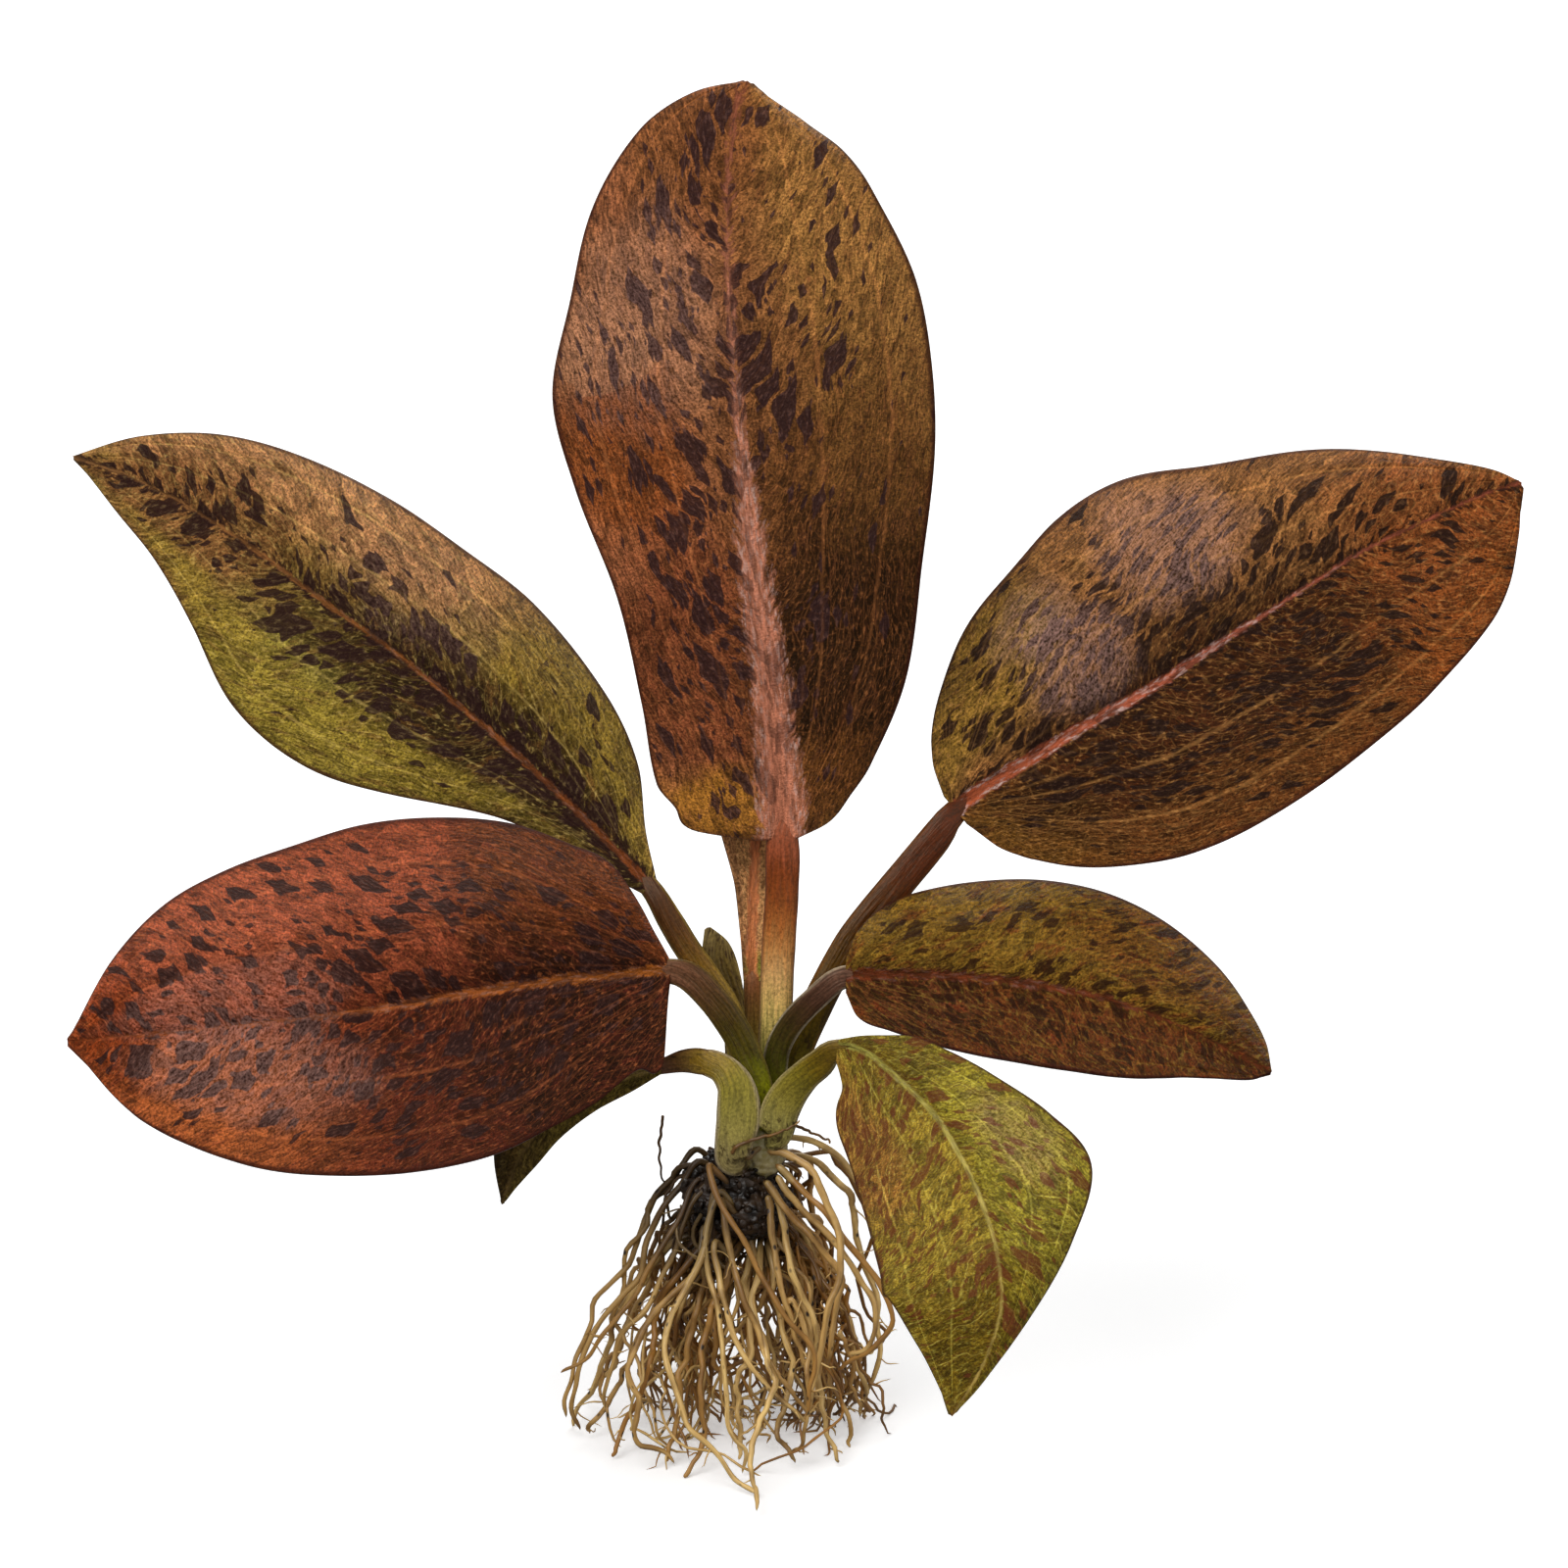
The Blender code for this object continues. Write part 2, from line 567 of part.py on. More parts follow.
def main():
    for thing in list(bpy.data.objects):
        bpy.data.objects.remove(thing, do_unlink=True)
    for name in BLADES:
        build_blade(name)
    for name in STALKS:
        build_stalk(name)
    build_crown()
    turned("soil", SOIL_SIDES, soil_outline, SOIL_BLACK)
    turned("root_tangle", TANGLE_SIDES, tangle_outline, ROOT_TAN)
    for number, root in enumerate(ROOTS, 1):
        build_root(number, *root)


main()
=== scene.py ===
"""Looks of a bare-rooted sword plant: spotted leaves, stalks, crown, soil and fine roots.

Leaves, stalks and front roots are laid out as the front view shows them, a little above the horizon:
across is to the right of the crown, up is above it and near is towards the viewer, all in mm.
"""

import math
import random

import bmesh
import bpy
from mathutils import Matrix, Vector, noise


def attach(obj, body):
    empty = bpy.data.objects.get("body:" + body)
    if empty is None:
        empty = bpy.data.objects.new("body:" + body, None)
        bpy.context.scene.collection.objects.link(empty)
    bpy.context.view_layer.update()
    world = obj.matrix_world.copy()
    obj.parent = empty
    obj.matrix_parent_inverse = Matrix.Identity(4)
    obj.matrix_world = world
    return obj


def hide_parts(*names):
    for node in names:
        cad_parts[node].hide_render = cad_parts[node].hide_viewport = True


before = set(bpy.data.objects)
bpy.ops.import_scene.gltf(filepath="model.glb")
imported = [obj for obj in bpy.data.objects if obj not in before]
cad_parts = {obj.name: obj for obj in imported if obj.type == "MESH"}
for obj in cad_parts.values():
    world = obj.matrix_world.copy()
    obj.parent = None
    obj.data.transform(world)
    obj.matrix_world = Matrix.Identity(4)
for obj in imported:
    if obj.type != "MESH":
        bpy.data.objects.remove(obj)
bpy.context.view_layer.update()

# ------------------------------------------------------------------ crown
# The crown is the short upright rhizome of the plant, as thick as a finger tip. It is living
# tissue with a waxy skin, ringed by the scars of old leaves and stained where soil clung to it.
# It grows upwards slowly; leaves leave its top and roots its sides.

# sizes are in mm, and corners closer than MERGE are one
MM = 0.001
MERGE = 0.004
# radius and height, from the foot up
CROWN_OUTLINE = ((0.0, 36.4), (2.4, 36.8), (3.3, 38.2), (3.8, 40.2), (4.2, 42.2), (4.3, 44.2),
                 (3.6, 45.6), (0.0, 45.9))
CROWN_STEPS = 60
CROWN_SIDES = 72
CROWN_LUMPS = 0.07
CROWN_RING_SPACING = 1.3
CROWN_RING_DEPTH = 0.07


def linear(code):
    """Colour from an sRGB hex code."""
    parts = [int(code[start:start + 2], 16) / 255 for start in (1, 3, 5)]
    return (*(part / 12.92 if part <= 0.04045 else ((part + 0.055) / 1.055) ** 2.4 for part in parts), 1)


def new_material(name):
    """Material, its node tree and its shader."""
    material = bpy.data.materials.new(name)
    material.use_nodes = True
    return material, material.node_tree, material.node_tree.nodes["Principled BSDF"]


def add(tree, kind, inputs, **settings):
    """Add a node with its settings, set or link its inputs, and give its first live output.

    Inputs go by name or, in a tuple, in their order: a MapRange's are what it reads, the start and end
    that it reads over, and the two values that it gives there.
    """
    node = tree.nodes.new("ShaderNode" + kind)
    for key, value in settings.items():
        setattr(node, key, value)
    for key, value in inputs.items() if isinstance(inputs, dict) else enumerate(inputs):
        socket = node.inputs[key] if isinstance(key, int) else next(
            s for s in node.inputs if s.enabled and s.name == key)
        if isinstance(value, bpy.types.NodeSocket):
            tree.links.new(value, socket)
        else:
            socket.default_value = value
    return next(socket for socket in node.outputs if socket.enabled)


def stained(tree, base, colour, pattern, start, end, low=0.0, high=1.0, **settings):
    """The base under a share of a colour: low where the pattern is at start, high where it is at end."""
    share = add(tree, "MapRange", (pattern, start, end, low, high), **settings)
    return add(tree, "Mix", {"Factor": share, "A": base, "B": linear(colour)}, data_type="RGBA")


def lay(mesh, columns, rows, place, marks):
    """Add a grid whose corner (column, row) lies at place(column, row), in mm, with its UV marks."""
    layers = [mesh.loops.layers.uv.get(name) or mesh.loops.layers.uv.new(name) for name in marks]
    made = bmesh.ops.create_grid(mesh, x_segments=columns - 1, y_segments=rows - 1, size=0.5)["verts"]
    for vertex in made:
        column = round((vertex.co.x + 0.5) * (columns - 1))
        row = round((vertex.co.y + 0.5) * (rows - 1))
        for loop in vertex.link_loops:
            for layer, mark in zip(layers, marks.values()):
                loop[layer].uv = mark(column, row)
        vertex.co = place(column, row) * MM
    bmesh.ops.remove_doubles(mesh, verts=made, dist=MERGE * MM)


def piece_of(name, mesh, materials, slot, *nodes, closed=True):
    """Object with this mesh, smooth, that rides on the plant and stands for these CAD nodes."""
    if closed:
        bmesh.ops.recalc_face_normals(mesh, faces=mesh.faces)
    data = bpy.data.meshes.new(name)
    mesh.to_mesh(data)
    mesh.free()
    data.shade_smooth()
    for material in materials:
        data.materials.append(material)
    thing = bpy.data.objects.new(name, data)
    bpy.context.scene.collection.objects.link(thing)
    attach(thing, "root")
    if nodes:
        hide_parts(*nodes)
    return thing


def crown_skin():
    """Waxy pale olive rhizome skin, stained black-brown in the scars and towards the soil."""
    material, tree, shader = new_material("waxy_rhizome_skin")
    place = add(tree, "TexCoord", {}).node.outputs["Object"]
    cloud = add(tree, "TexNoise", {"Vector": place, "Scale": 230, "Detail": 5})
    fine = add(tree, "TexNoise", {"Vector": place, "Scale": 1400, "Detail": 3})
    height = add(tree, "SeparateXYZ", {"Vector": place}).node.outputs["Z"]
    base = stained(tree, linear("#a89458"), "#a09a50", height, 0.039, 0.045)
    base = stained(tree, base, "#c8bc90", fine, 0.35, 0.7)
    low = add(tree, "MapRange", (height, 0.037, 0.044, 0.1, -0.02))
    stain = add(tree, "Math", (cloud, low), operation="ADD")
    base = stained(tree, base, "#2b2013", stain, 0.55, 0.64, interpolation_type="SMOOTHSTEP")
    bump = add(tree, "Bump", {"Height": cloud, "Strength": 0.5, "Distance": 0.0006})
    tree.links.new(base, shader.inputs["Base Color"])
    tree.links.new(bump, shader.inputs["Normal"])
    shader.inputs["Roughness"].default_value = 0.38
    return material


def build_crown():
    """Lumpy, ringed rhizome, closed at its foot and top."""
    mesh = bmesh.new()

    def place(column, row):
        turn = 2 * math.pi * (column % CROWN_SIDES) / CROWN_SIDES
        way = row / (CROWN_STEPS - 1) * (len(CROWN_OUTLINE) - 1)
        index = min(int(way), len(CROWN_OUTLINE) - 2)
        share = way - index
        low, high = CROWN_OUTLINE[index], CROWN_OUTLINE[index + 1]
        radius = low[0] + (high[0] - low[0]) * share
        height = low[1] + (high[1] - low[1]) * share
        around = Vector((math.cos(turn), math.sin(turn), 0))
        lump = noise.noise(around * 2.1 + Vector((0, 0, height * 0.5)))
        ring = math.sin(2 * math.pi * (height + 0.5 * lump) / CROWN_RING_SPACING)
        radius *= 1 + CROWN_LUMPS * lump
        if 0 < row < CROWN_STEPS - 1:
            radius += CROWN_RING_DEPTH * ring
        return around * max(radius, 0) + Vector((0, 0, height))

    lay(mesh, CROWN_SIDES + 1, CROWN_STEPS, place, {})
    piece_of("crown_skin", mesh, [crown_skin()], "stalk_pale", "crown")


build_crown()

# ------------------------------------------------------------------ roots
# Sword plants have a skirt of unbranched, string-like roots, tan to golden and 1 to 1.5 mm thick.
# They grow out of the crown's sides, bend down at once and here carry the plant on the ground.
# Wet root skin is glossy, with brown stains, dark pin marks and short side hairs.

# the front view: how far it looks down, its distance and the place in its middle, the crown in it
VIEW_TILT = math.radians(16)
VIEW_UP = Vector((0, math.sin(VIEW_TILT), math.cos(VIEW_TILT)))
VIEW_TOWARDS = Vector((0, -math.cos(VIEW_TILT), math.sin(VIEW_TILT)))
VIEW_DISTANCE = 700
VIEW_CENTRE = Vector((3.4, 13.0, 89.1))
CROWN_IN_VIEW = (-3.4, -47.2)
# the soil that the roots come out of: radius, wider on the left, wavy; its top, and the roots' drop in it
SOIL_RADIUS = 7.2
SOIL_LEAN = 3.2
SOIL_WAVE = 0.5
SOIL_TOP = 37
SOIL_DROP = 3.5
ROOT_START = 2.0
ROOT_REST = 0.75
ROOT_SETTLE = 1.35
ROOT_SIDES = 8
ROOT_STEPS = 44
FRONT_STEPS = 56
FRONT_SEED = 40
# thinner front roots have no side hairs and are dark
THICK_ROOT = 0.35
DARK_TONE = 1.8
INNER_ROOTS = 130
INNER_SEED = 90
# inner roots are grown in threes: towards the left, anywhere, and darker ones towards the right
INNER_FANS = ((130, 235), (0, 360), (-45, 55))
RIGHT_FAN = 2
HAIR_STEPS = 7
HAIR_SIDES = 5
# the roots stray by noise vectors, which would start from the clock without a seed
noise.seed_set(11)

# Azimuth from the right anticlockwise, height at the crown, reach, spread, fall, curl, sway
ROOTS = (
    (6, 39.5, 20.0, 0.6, 1.6, 6.0, 6),
    (26, 33.0, 17.5, 0.7, 1.3, 3.0, 4),
    (46, 39.0, 18.5, 0.65, 1.4, 2.5, 5),
    (64, 33.0, 18.0, 0.8, 1.2, 1.0, 3),
    (82, 33.0, 21.0, 0.8, 1.2, 1.0, 4),
    (100, 32.0, 19.0, 0.8, 1.1, 0.0, 3),
    (118, 33.0, 22.0, 0.8, 1.2, 0.0, 4),
    (136, 32.0, 21.0, 0.75, 1.2, 0.0, 2),
    (152, 33.0, 26.0, 0.7, 1.25, 1.0, 3),
    (168, 33.5, 24.5, 0.7, 1.2, 0.0, -3),
    (183, 33.0, 27.0, 0.7, 1.25, 1.0, 3),
    (198, 32.0, 24.0, 0.7, 1.2, 0.0, -2),
    (212, 33.0, 25.0, 0.7, 1.25, 1.0, 3),
    (227, 32.0, 21.0, 0.75, 1.15, 0.0, 4),
    (243, 33.0, 23.0, 0.8, 1.2, 1.0, 4),
    (257, 32.0, 19.0, 0.8, 1.1, 0.0, 4),
    (272, 33.0, 34.0, 1.0, 1.1, 0.0, -3),
    (287, 32.0, 18.5, 0.8, 1.1, 0.0, -4),
    (303, 33.0, 20.0, 0.75, 1.2, 1.0, 3),
    (320, 32.0, 17.5, 0.75, 1.25, 2.0, 5),
    (343, 33.5, 18.5, 0.65, 1.4, 4.0, 8),
)

# Roots in front, each as near at its start and its end, bulge, radius, then its (across, up) places
FRONT_ROOTS = (
    (-1, -3, 2, 0.55, (-8.9, -3.2), (-11.6, -6.7), (-14.3, -10.1), (-16.4, -14.1), (-18.3, -18.8),
     (-20.6, -21.5), (-22.7, -24.2), (-23.0, -26.9), (-24.0, -28.9), (-25.5, -32.2), (-26.2, -35.6),
     (-27.0, -37.9), (-26.7, -40.3)),
    (2, -4, 3, 0.6, (-8.2, -4.7), (-10.8, -8.0), (-13.3, -11.1), (-15.6, -16.1), (-16.3, -20.1),
     (-19.0, -23.2), (-21.3, -26.2), (-23.3, -29.5), (-25.0, -33.6), (-25.5, -36.9), (-25.7, -39.6),
     (-24.8, -41.9)),
    (4, 2, 3, 0.5, (-8.5, -7.4), (-12.0, -14.1), (-14.9, -18.8), (-17.6, -23.5), (-20.0, -26.5),
     (-22.3, -29.5), (-24.0, -32.2), (-27.4, -34.2)),
    (5, -3, 3, 0.52, (-8.2, -9.0), (-11.6, -17.5), (-13.9, -21.5), (-15.9, -25.5), (-19.0, -28.5),
     (-20.1, -32.2), (-21.0, -35.2), (-21.4, -37.3), (-21.1, -38.9)),
    (6, 3, 5, 0.62, (-5.9, -9.0), (-7.5, -15.0), (-8.9, -20.1), (-12.2, -23.5), (-14.9, -26.2),
     (-16.6, -28.9), (-17.8, -32.2), (-18.1, -33.9), (-17.4, -36.3), (-16.5, -37.6), (-16.9, -39.9),
     (-17.3, -42.3), (-16.4, -44.0), (-14.6, -44.3), (-12.9, -45.0), (-11.7, -46.3)),
    (7, 12, 3, 0.6, (-5.9, -9.0), (-6.9, -14.4), (-8.2, -18.8), (-10.2, -22.8), (-11.9, -25.5),
     (-12.6, -28.9), (-12.6, -31.9), (-11.9, -34.9), (-11.1, -37.9), (-9.9, -41.0), (-7.5, -43.3),
     (-5.5, -45.7), (-3.2, -48.7), (0.0, -50.8)),
    (8, 6, 3, 0.55, (-5.5, -9.0), (-7.5, -15.8), (-7.2, -20.1), (-5.9, -24.2), (-5.2, -28.9),
     (-4.9, -33.6), (-4.7, -36.9), (-4.2, -40.6), (-3.2, -43.0), (-2.0, -44.8), (-2.2, -47.7)),
    (9, 9, 4, 0.55, (-7.0, -5.5), (-5.9, -9.4), (-2.5, -15.1), (-0.2, -20.1), (2.5, -24.2),
     (4.5, -27.5), (6.9, -30.2), (7.7, -32.2), (7.2, -36.0), (6.6, -39.9)),
    (8, 6, 4, 0.6, (-5.0, -10.0), (-4.2, -16.1), (-3.2, -20.1), (-2.2, -24.2), (-0.5, -27.5),
     (0.5, -30.9), (2.2, -33.6), (4.2, -36.3), (6.2, -38.6), (7.1, -39.6)),
    (8, 6, 5, 0.55, (-6.0, -16.0), (-5.5, -21.5), (-4.2, -26.2), (-2.8, -30.2), (-1.2, -32.9),
     (1.2, -35.6), (3.2, -37.6), (5.2, -39.6), (6.6, -40.9)),
    (8, 3, 3, 0.5, (4.5, -24.0), (6.9, -30.2), (6.6, -33.6), (6.6, -36.9), (6.6, -39.9),
     (6.1, -42.0), (5.9, -43.6), (4.7, -45.0)),
    (4, 6, 4, 0.68, (1.0, -3.4), (3.2, -3.7), (6.6, -5.4), (8.2, -8.7), (9.6, -12.1), (10.8, -15.1),
     (11.1, -18.1), (10.9, -21.5), (9.6, -24.2), (8.9, -27.5), (8.2, -30.9), (7.7, -34.2),
     (7.2, -37.3), (6.9, -39.6)),
    (4, -4, 0, 0.62, (-2.0, -4.6), (0.5, -2.6), (4.5, -1.7), (7.9, -2.2), (10.6, -4.0), (12.9, -6.7),
     (15.2, -10.5), (16.4, -15.0), (17.2, -20.0), (18.4, -24.6)),
    (3, 1, 0, 0.3, (3.5, -0.6), (5.5, 0.0), (7.9, -1.0), (9.9, -2.3)),
    (4, 3, 3, 0.6, (2.2, -5.2), (5.9, -8.7), (8.9, -11.7), (11.6, -15.4), (14.3, -18.8), (16.6, -21.8),
     (18.0, -25.2), (18.1, -27.5), (16.0, -30.2), (12.9, -32.2), (10.6, -33.6)),
    (5, 4, 2, 0.6, (2.4, -6.7), (4.9, -10.7), (7.9, -13.4), (10.9, -16.8), (13.6, -20.5), (15.6, -24.2),
     (16.3, -27.5), (14.6, -30.2), (12.3, -31.9)),
    (5, 4, 2, 0.62, (0.9, -7.4), (3.2, -11.1), (6.2, -14.1), (9.2, -17.5), (11.3, -20.8), (10.6, -24.2),
     (9.9, -27.5), (9.6, -30.9), (9.2, -33.2)),
    (4, 3, 2, 0.6, (2.4, -9.4), (3.9, -16.1), (4.5, -20.1), (6.2, -24.2), (7.6, -27.5), (8.2, -32.0)),
    (4, 3, 2, 0.6, (1.2, -9.4), (2.5, -18.8), (3.2, -22.8), (4.2, -26.5), (5.5, -30.2), (6.6, -33.6)),
    (6.6, 7.6, 0.5, 0.3, (-3.9, -3.8), (-2.5, -2.4), (-0.4, -1.7), (3.0, -0.7), (5.6, 0.7)),
    (2, -4, 0, 0.4, (11.0, -28.0), (12.9, -33.1), (12.8, -35.6), (13.6, -37.8), (13.9, -38.6)),
    (-4, -3, 0, 0.26, (-13.3, 1.6), (-13.6, -1.0), (-13.8, -3.4), (-13.5, -6.7), (-12.6, -8.4)),
)


def seen(across, up, near):
    """Place, in mm in the object's frame, that the front view shows there."""
    shrink = 1 - near / VIEW_DISTANCE
    right = (across + CROWN_IN_VIEW[0]) * shrink
    rise = (up + CROWN_IN_VIEW[1]) * shrink
    return VIEW_CENTRE + Vector((right, 0, 0)) + rise * VIEW_UP + near * VIEW_TOWARDS


def near_on_ground(up, height):
    """How near the viewer the view shows a place at this height above the ground."""
    rise = math.cos(VIEW_TILT) * (up + CROWN_IN_VIEW[1])
    return (height - VIEW_CENTRE.z - rise) / (math.sin(VIEW_TILT) - rise / VIEW_DISTANCE)


def soil_radius(turn):
    """Widest reach of the soil in a direction."""
    return SOIL_RADIUS - SOIL_LEAN * math.cos(turn) + SOIL_WAVE * math.sin(3 * turn)


def lengths_along(places):
    """Length of a line up to each of its places."""
    lengths = [0.0]
    for before, after in zip(places, places[1:]):
        gap = (after - before).length if isinstance(after, Vector) else math.dist(before[:3], after[:3])
        lengths.append(lengths[-1] + gap)
    return lengths


def smoothed(rows, steps):
    """Rows read off a smooth curve through the given rows, closer together near both ends."""
    marks = lengths_along(rows)
    last = len(rows) - 1
    slopes = []
    for index in range(last + 1):
        low = max(index - 1, 0)
        high = min(index + 1, last)
        span = marks[high] - marks[low]
        slopes.append([(b - a) / span for a, b in zip(rows[low], rows[high])])
    result = []
    for step in range(steps):
        even = step / (steps - 1)
        eased = 0.5 - 0.5 * math.cos(math.pi * even)
        mark = marks[-1] * (even + eased) / 2
        index = 0
        while index < last - 1 and marks[index + 1] <= mark:
            index += 1
        span = marks[index + 1] - marks[index]
        t = (mark - marks[index]) / span
        start_weight = 2 * t**3 - 3 * t**2 + 1
        start_pull = (t**3 - 2 * t**2 + t) * span
        end_weight = 3 * t**2 - 2 * t**3
        end_pull = (t**3 - t**2) * span
        row = []
        for column, start in enumerate(rows[index]):
            value = start_weight * start + start_pull * slopes[index][column]
            value += end_weight * rows[index + 1][column] + end_pull * slopes[index + 1][column]
            row.append(value)
        result.append(row)
    return result


def strand(mesh, centres, radii, tone, seed, sides=ROOT_SIDES):
    """Add a round strand, pointed at both ends, through the centres; its skin is a little uneven."""
    lengths = lengths_along(centres)
    axes = []
    wide = None
    for index in range(len(centres)):
        along = centres[min(index + 1, len(centres) - 1)] - centres[max(index - 1, 0)]
        along.normalize()
        wide = wide or (Vector((0, 0, 1)) if abs(along.z) < 0.9 else Vector((1, 0, 0)))
        wide = (wide - along * wide.dot(along)).normalized()
        axes.append((wide, along.cross(wide)))
    tones = mesh.verts.layers.float.get("tone") or mesh.verts.layers.float.new("tone")
    before_count = len(mesh.verts)

    def place(column, row):
        turn = 2 * math.pi * (column % sides) / sides
        first, second = axes[row]
        lump = 1 + 0.3 * noise.noise(Vector((lengths[row] * 0.5, seed * 3.7, math.cos(turn))))
        radius = radii[row] * lump
        return centres[row] + (first * math.cos(turn) + second * math.sin(turn)) * radius

    def skin(column, row):
        return (column / sides * 2 * math.pi * radii[len(radii) // 2] + seed * 5, lengths[row])

    lay(mesh, sides + 1, len(centres), place, {"skin_mm": skin})
    mesh.verts.ensure_lookup_table()
    for index in range(before_count, len(mesh.verts)):
        mesh.verts[index][tones] = tone


def wander(centres, amount, pace, seed):
    """The same line, straying to all sides by up to an amount, but held at its start."""
    result = []
    last = len(centres) - 1
    for index, centre in enumerate(centres):
        share = index / last
        room = min(1, 4 * share)
        stray = noise.noise_vector(Vector((share * pace, seed * 1.37, seed * 0.71))) * amount * room
        result.append(centre + stray)
    return result


def grounded(centres, radii):
    """The same line, lifted where it would sink into the ground."""
    return [Vector((c.x, c.y, max(c.z, r * 1.02))) for c, r in zip(centres, radii)]


def tapered(radius, tip_radius, steps):
    """Radii of a strand that closes to a point at both ends."""
    radii = []
    for step in range(steps):
        share = step / (steps - 1)
        value = radius + (tip_radius - radius) * share**1.5
        value *= min(1, math.sqrt(share * 30)) * min(1, math.sqrt((1 - share) * 18))
        radii.append(value)
    return radii


def falling_root(azimuth, height, reach, spread, fall, curl, sway):
    """Line of a root that leaves the crown, falls and ends flat on the ground."""
    start_turn = math.radians(azimuth)
    outer = soil_radius(start_turn) * (0.75 if height < SOIL_TOP else 1.1)
    height -= SOIL_DROP if height < SOIL_TOP else 0
    centres = []
    for step in range(ROOT_STEPS):
        way = step / (ROOT_STEPS - 1)
        turn = start_turn + math.radians(sway) * way**2
        radius = outer + (reach - outer) * way**spread - curl * way**4
        radius += (ROOT_START - outer) * max(0, 1 - way / 0.12) ** 2
        rise = ROOT_REST + (height - ROOT_REST) * (1 - way**fall) ** ROOT_SETTLE
        centres.append(Vector((radius * math.cos(turn), radius * math.sin(turn), rise)))
    return centres


def root_hairs(mesh, centres, count, chance, tone):
    """Short side hairs, on all but the first quarter of a root and its tip."""
    for _ in range(count):
        index = chance.randint(len(centres) // 4, len(centres) - 3)
        start = centres[index]
        heading = Vector((chance.uniform(-1, 1), chance.uniform(-1, 1), chance.uniform(-0.9, 0.4)))
        heading.normalize()
        length = chance.uniform(1.2, 4.5)
        line = []
        for step in range(HAIR_STEPS):
            share = step / (HAIR_STEPS - 1)
            bend = noise.noise_vector(start * 0.3 + Vector((share * 1.5, 0, 0))) * length * 0.5 * share
            line.append(start + heading * length * share + bend)
        radii = tapered(chance.uniform(0.1, 0.17), 0.06, HAIR_STEPS)
        strand(mesh, grounded(line, radii), radii, tone, index, HAIR_SIDES)


def stretched_noise(tree, place, scale, detail, **more):
    """Cloudy pattern, stretched: scale is how often it changes in a mm across and along the piece."""
    place = add(tree, "Mapping", {"Vector": place, "Scale": (*scale, 1)})
    return add(tree, "TexNoise", {"Vector": place, "Scale": 1.0, "Detail": detail, **more})


def root_skin():
    """Wet root skin: tan to golden by strand, brown near the crown, streaked and pin-marked."""
    material, tree, shader = new_material("wet_root_skin")
    tone = add(tree, "Attribute", {}, attribute_name="tone").node.outputs["Fac"]
    skin = add(tree, "UVMap", {}, uv_map="skin_mm")
    place = add(tree, "TexCoord", {}).node.outputs["Object"]
    streak = stretched_noise(tree, skin, (2.2, 0.25), 4)
    cloud = add(tree, "TexNoise", {"Vector": place, "Scale": 160, "Detail": 4})
    base = add(tree, "Mix", {"Factor": tone, "A": linear("#f2cc80"), "B": linear("#a8722c")},
               data_type="RGBA")
    for colour, pattern, start, end, high in (
            ("#5c3c16", tone, 1.0, 1.5, 0.9), ("#9c6e30", streak, 0.38, 0.66, 0.65),
            ("#6c461a", cloud, 0.5, 0.66, 0.75)):
        base = stained(tree, base, colour, pattern, start, end, high=high)
    # dark pin marks, about one every 2 mm along a root
    pin_place = add(tree, "Mapping", {"Vector": skin, "Scale": (0.55, 0.4, 1)})
    pins = add(tree, "TexVoronoi", {"Vector": pin_place, "Scale": 1.0})
    base = stained(tree, base, "#2c1d0e", pins, 0.1, 0.2, 1, 0)
    # soil has stained the roots brown-black around the crown's foot
    parts = add(tree, "Mapping", {"Vector": place, "Location": (0.006, 0.001, -0.030),
                                  "Scale": (1, 1, 0.9)})
    reach = add(tree, "VectorMath", (parts,), operation="LENGTH")
    ragged = add(tree, "MapRange", (cloud, 0, 1, -0.006, 0.006))
    reach = add(tree, "Math", (reach, ragged), operation="ADD")
    base = stained(tree, base, "#2e1c0c", reach, 0.007, 0.015, 0.85, 0)
    bump = add(tree, "Bump", {"Height": streak, "Strength": 0.5, "Distance": 0.00025})
    tree.links.new(base, shader.inputs["Base Color"])
    tree.links.new(bump, shader.inputs["Normal"])
    shader.inputs["Roughness"].default_value = 0.42
    return material


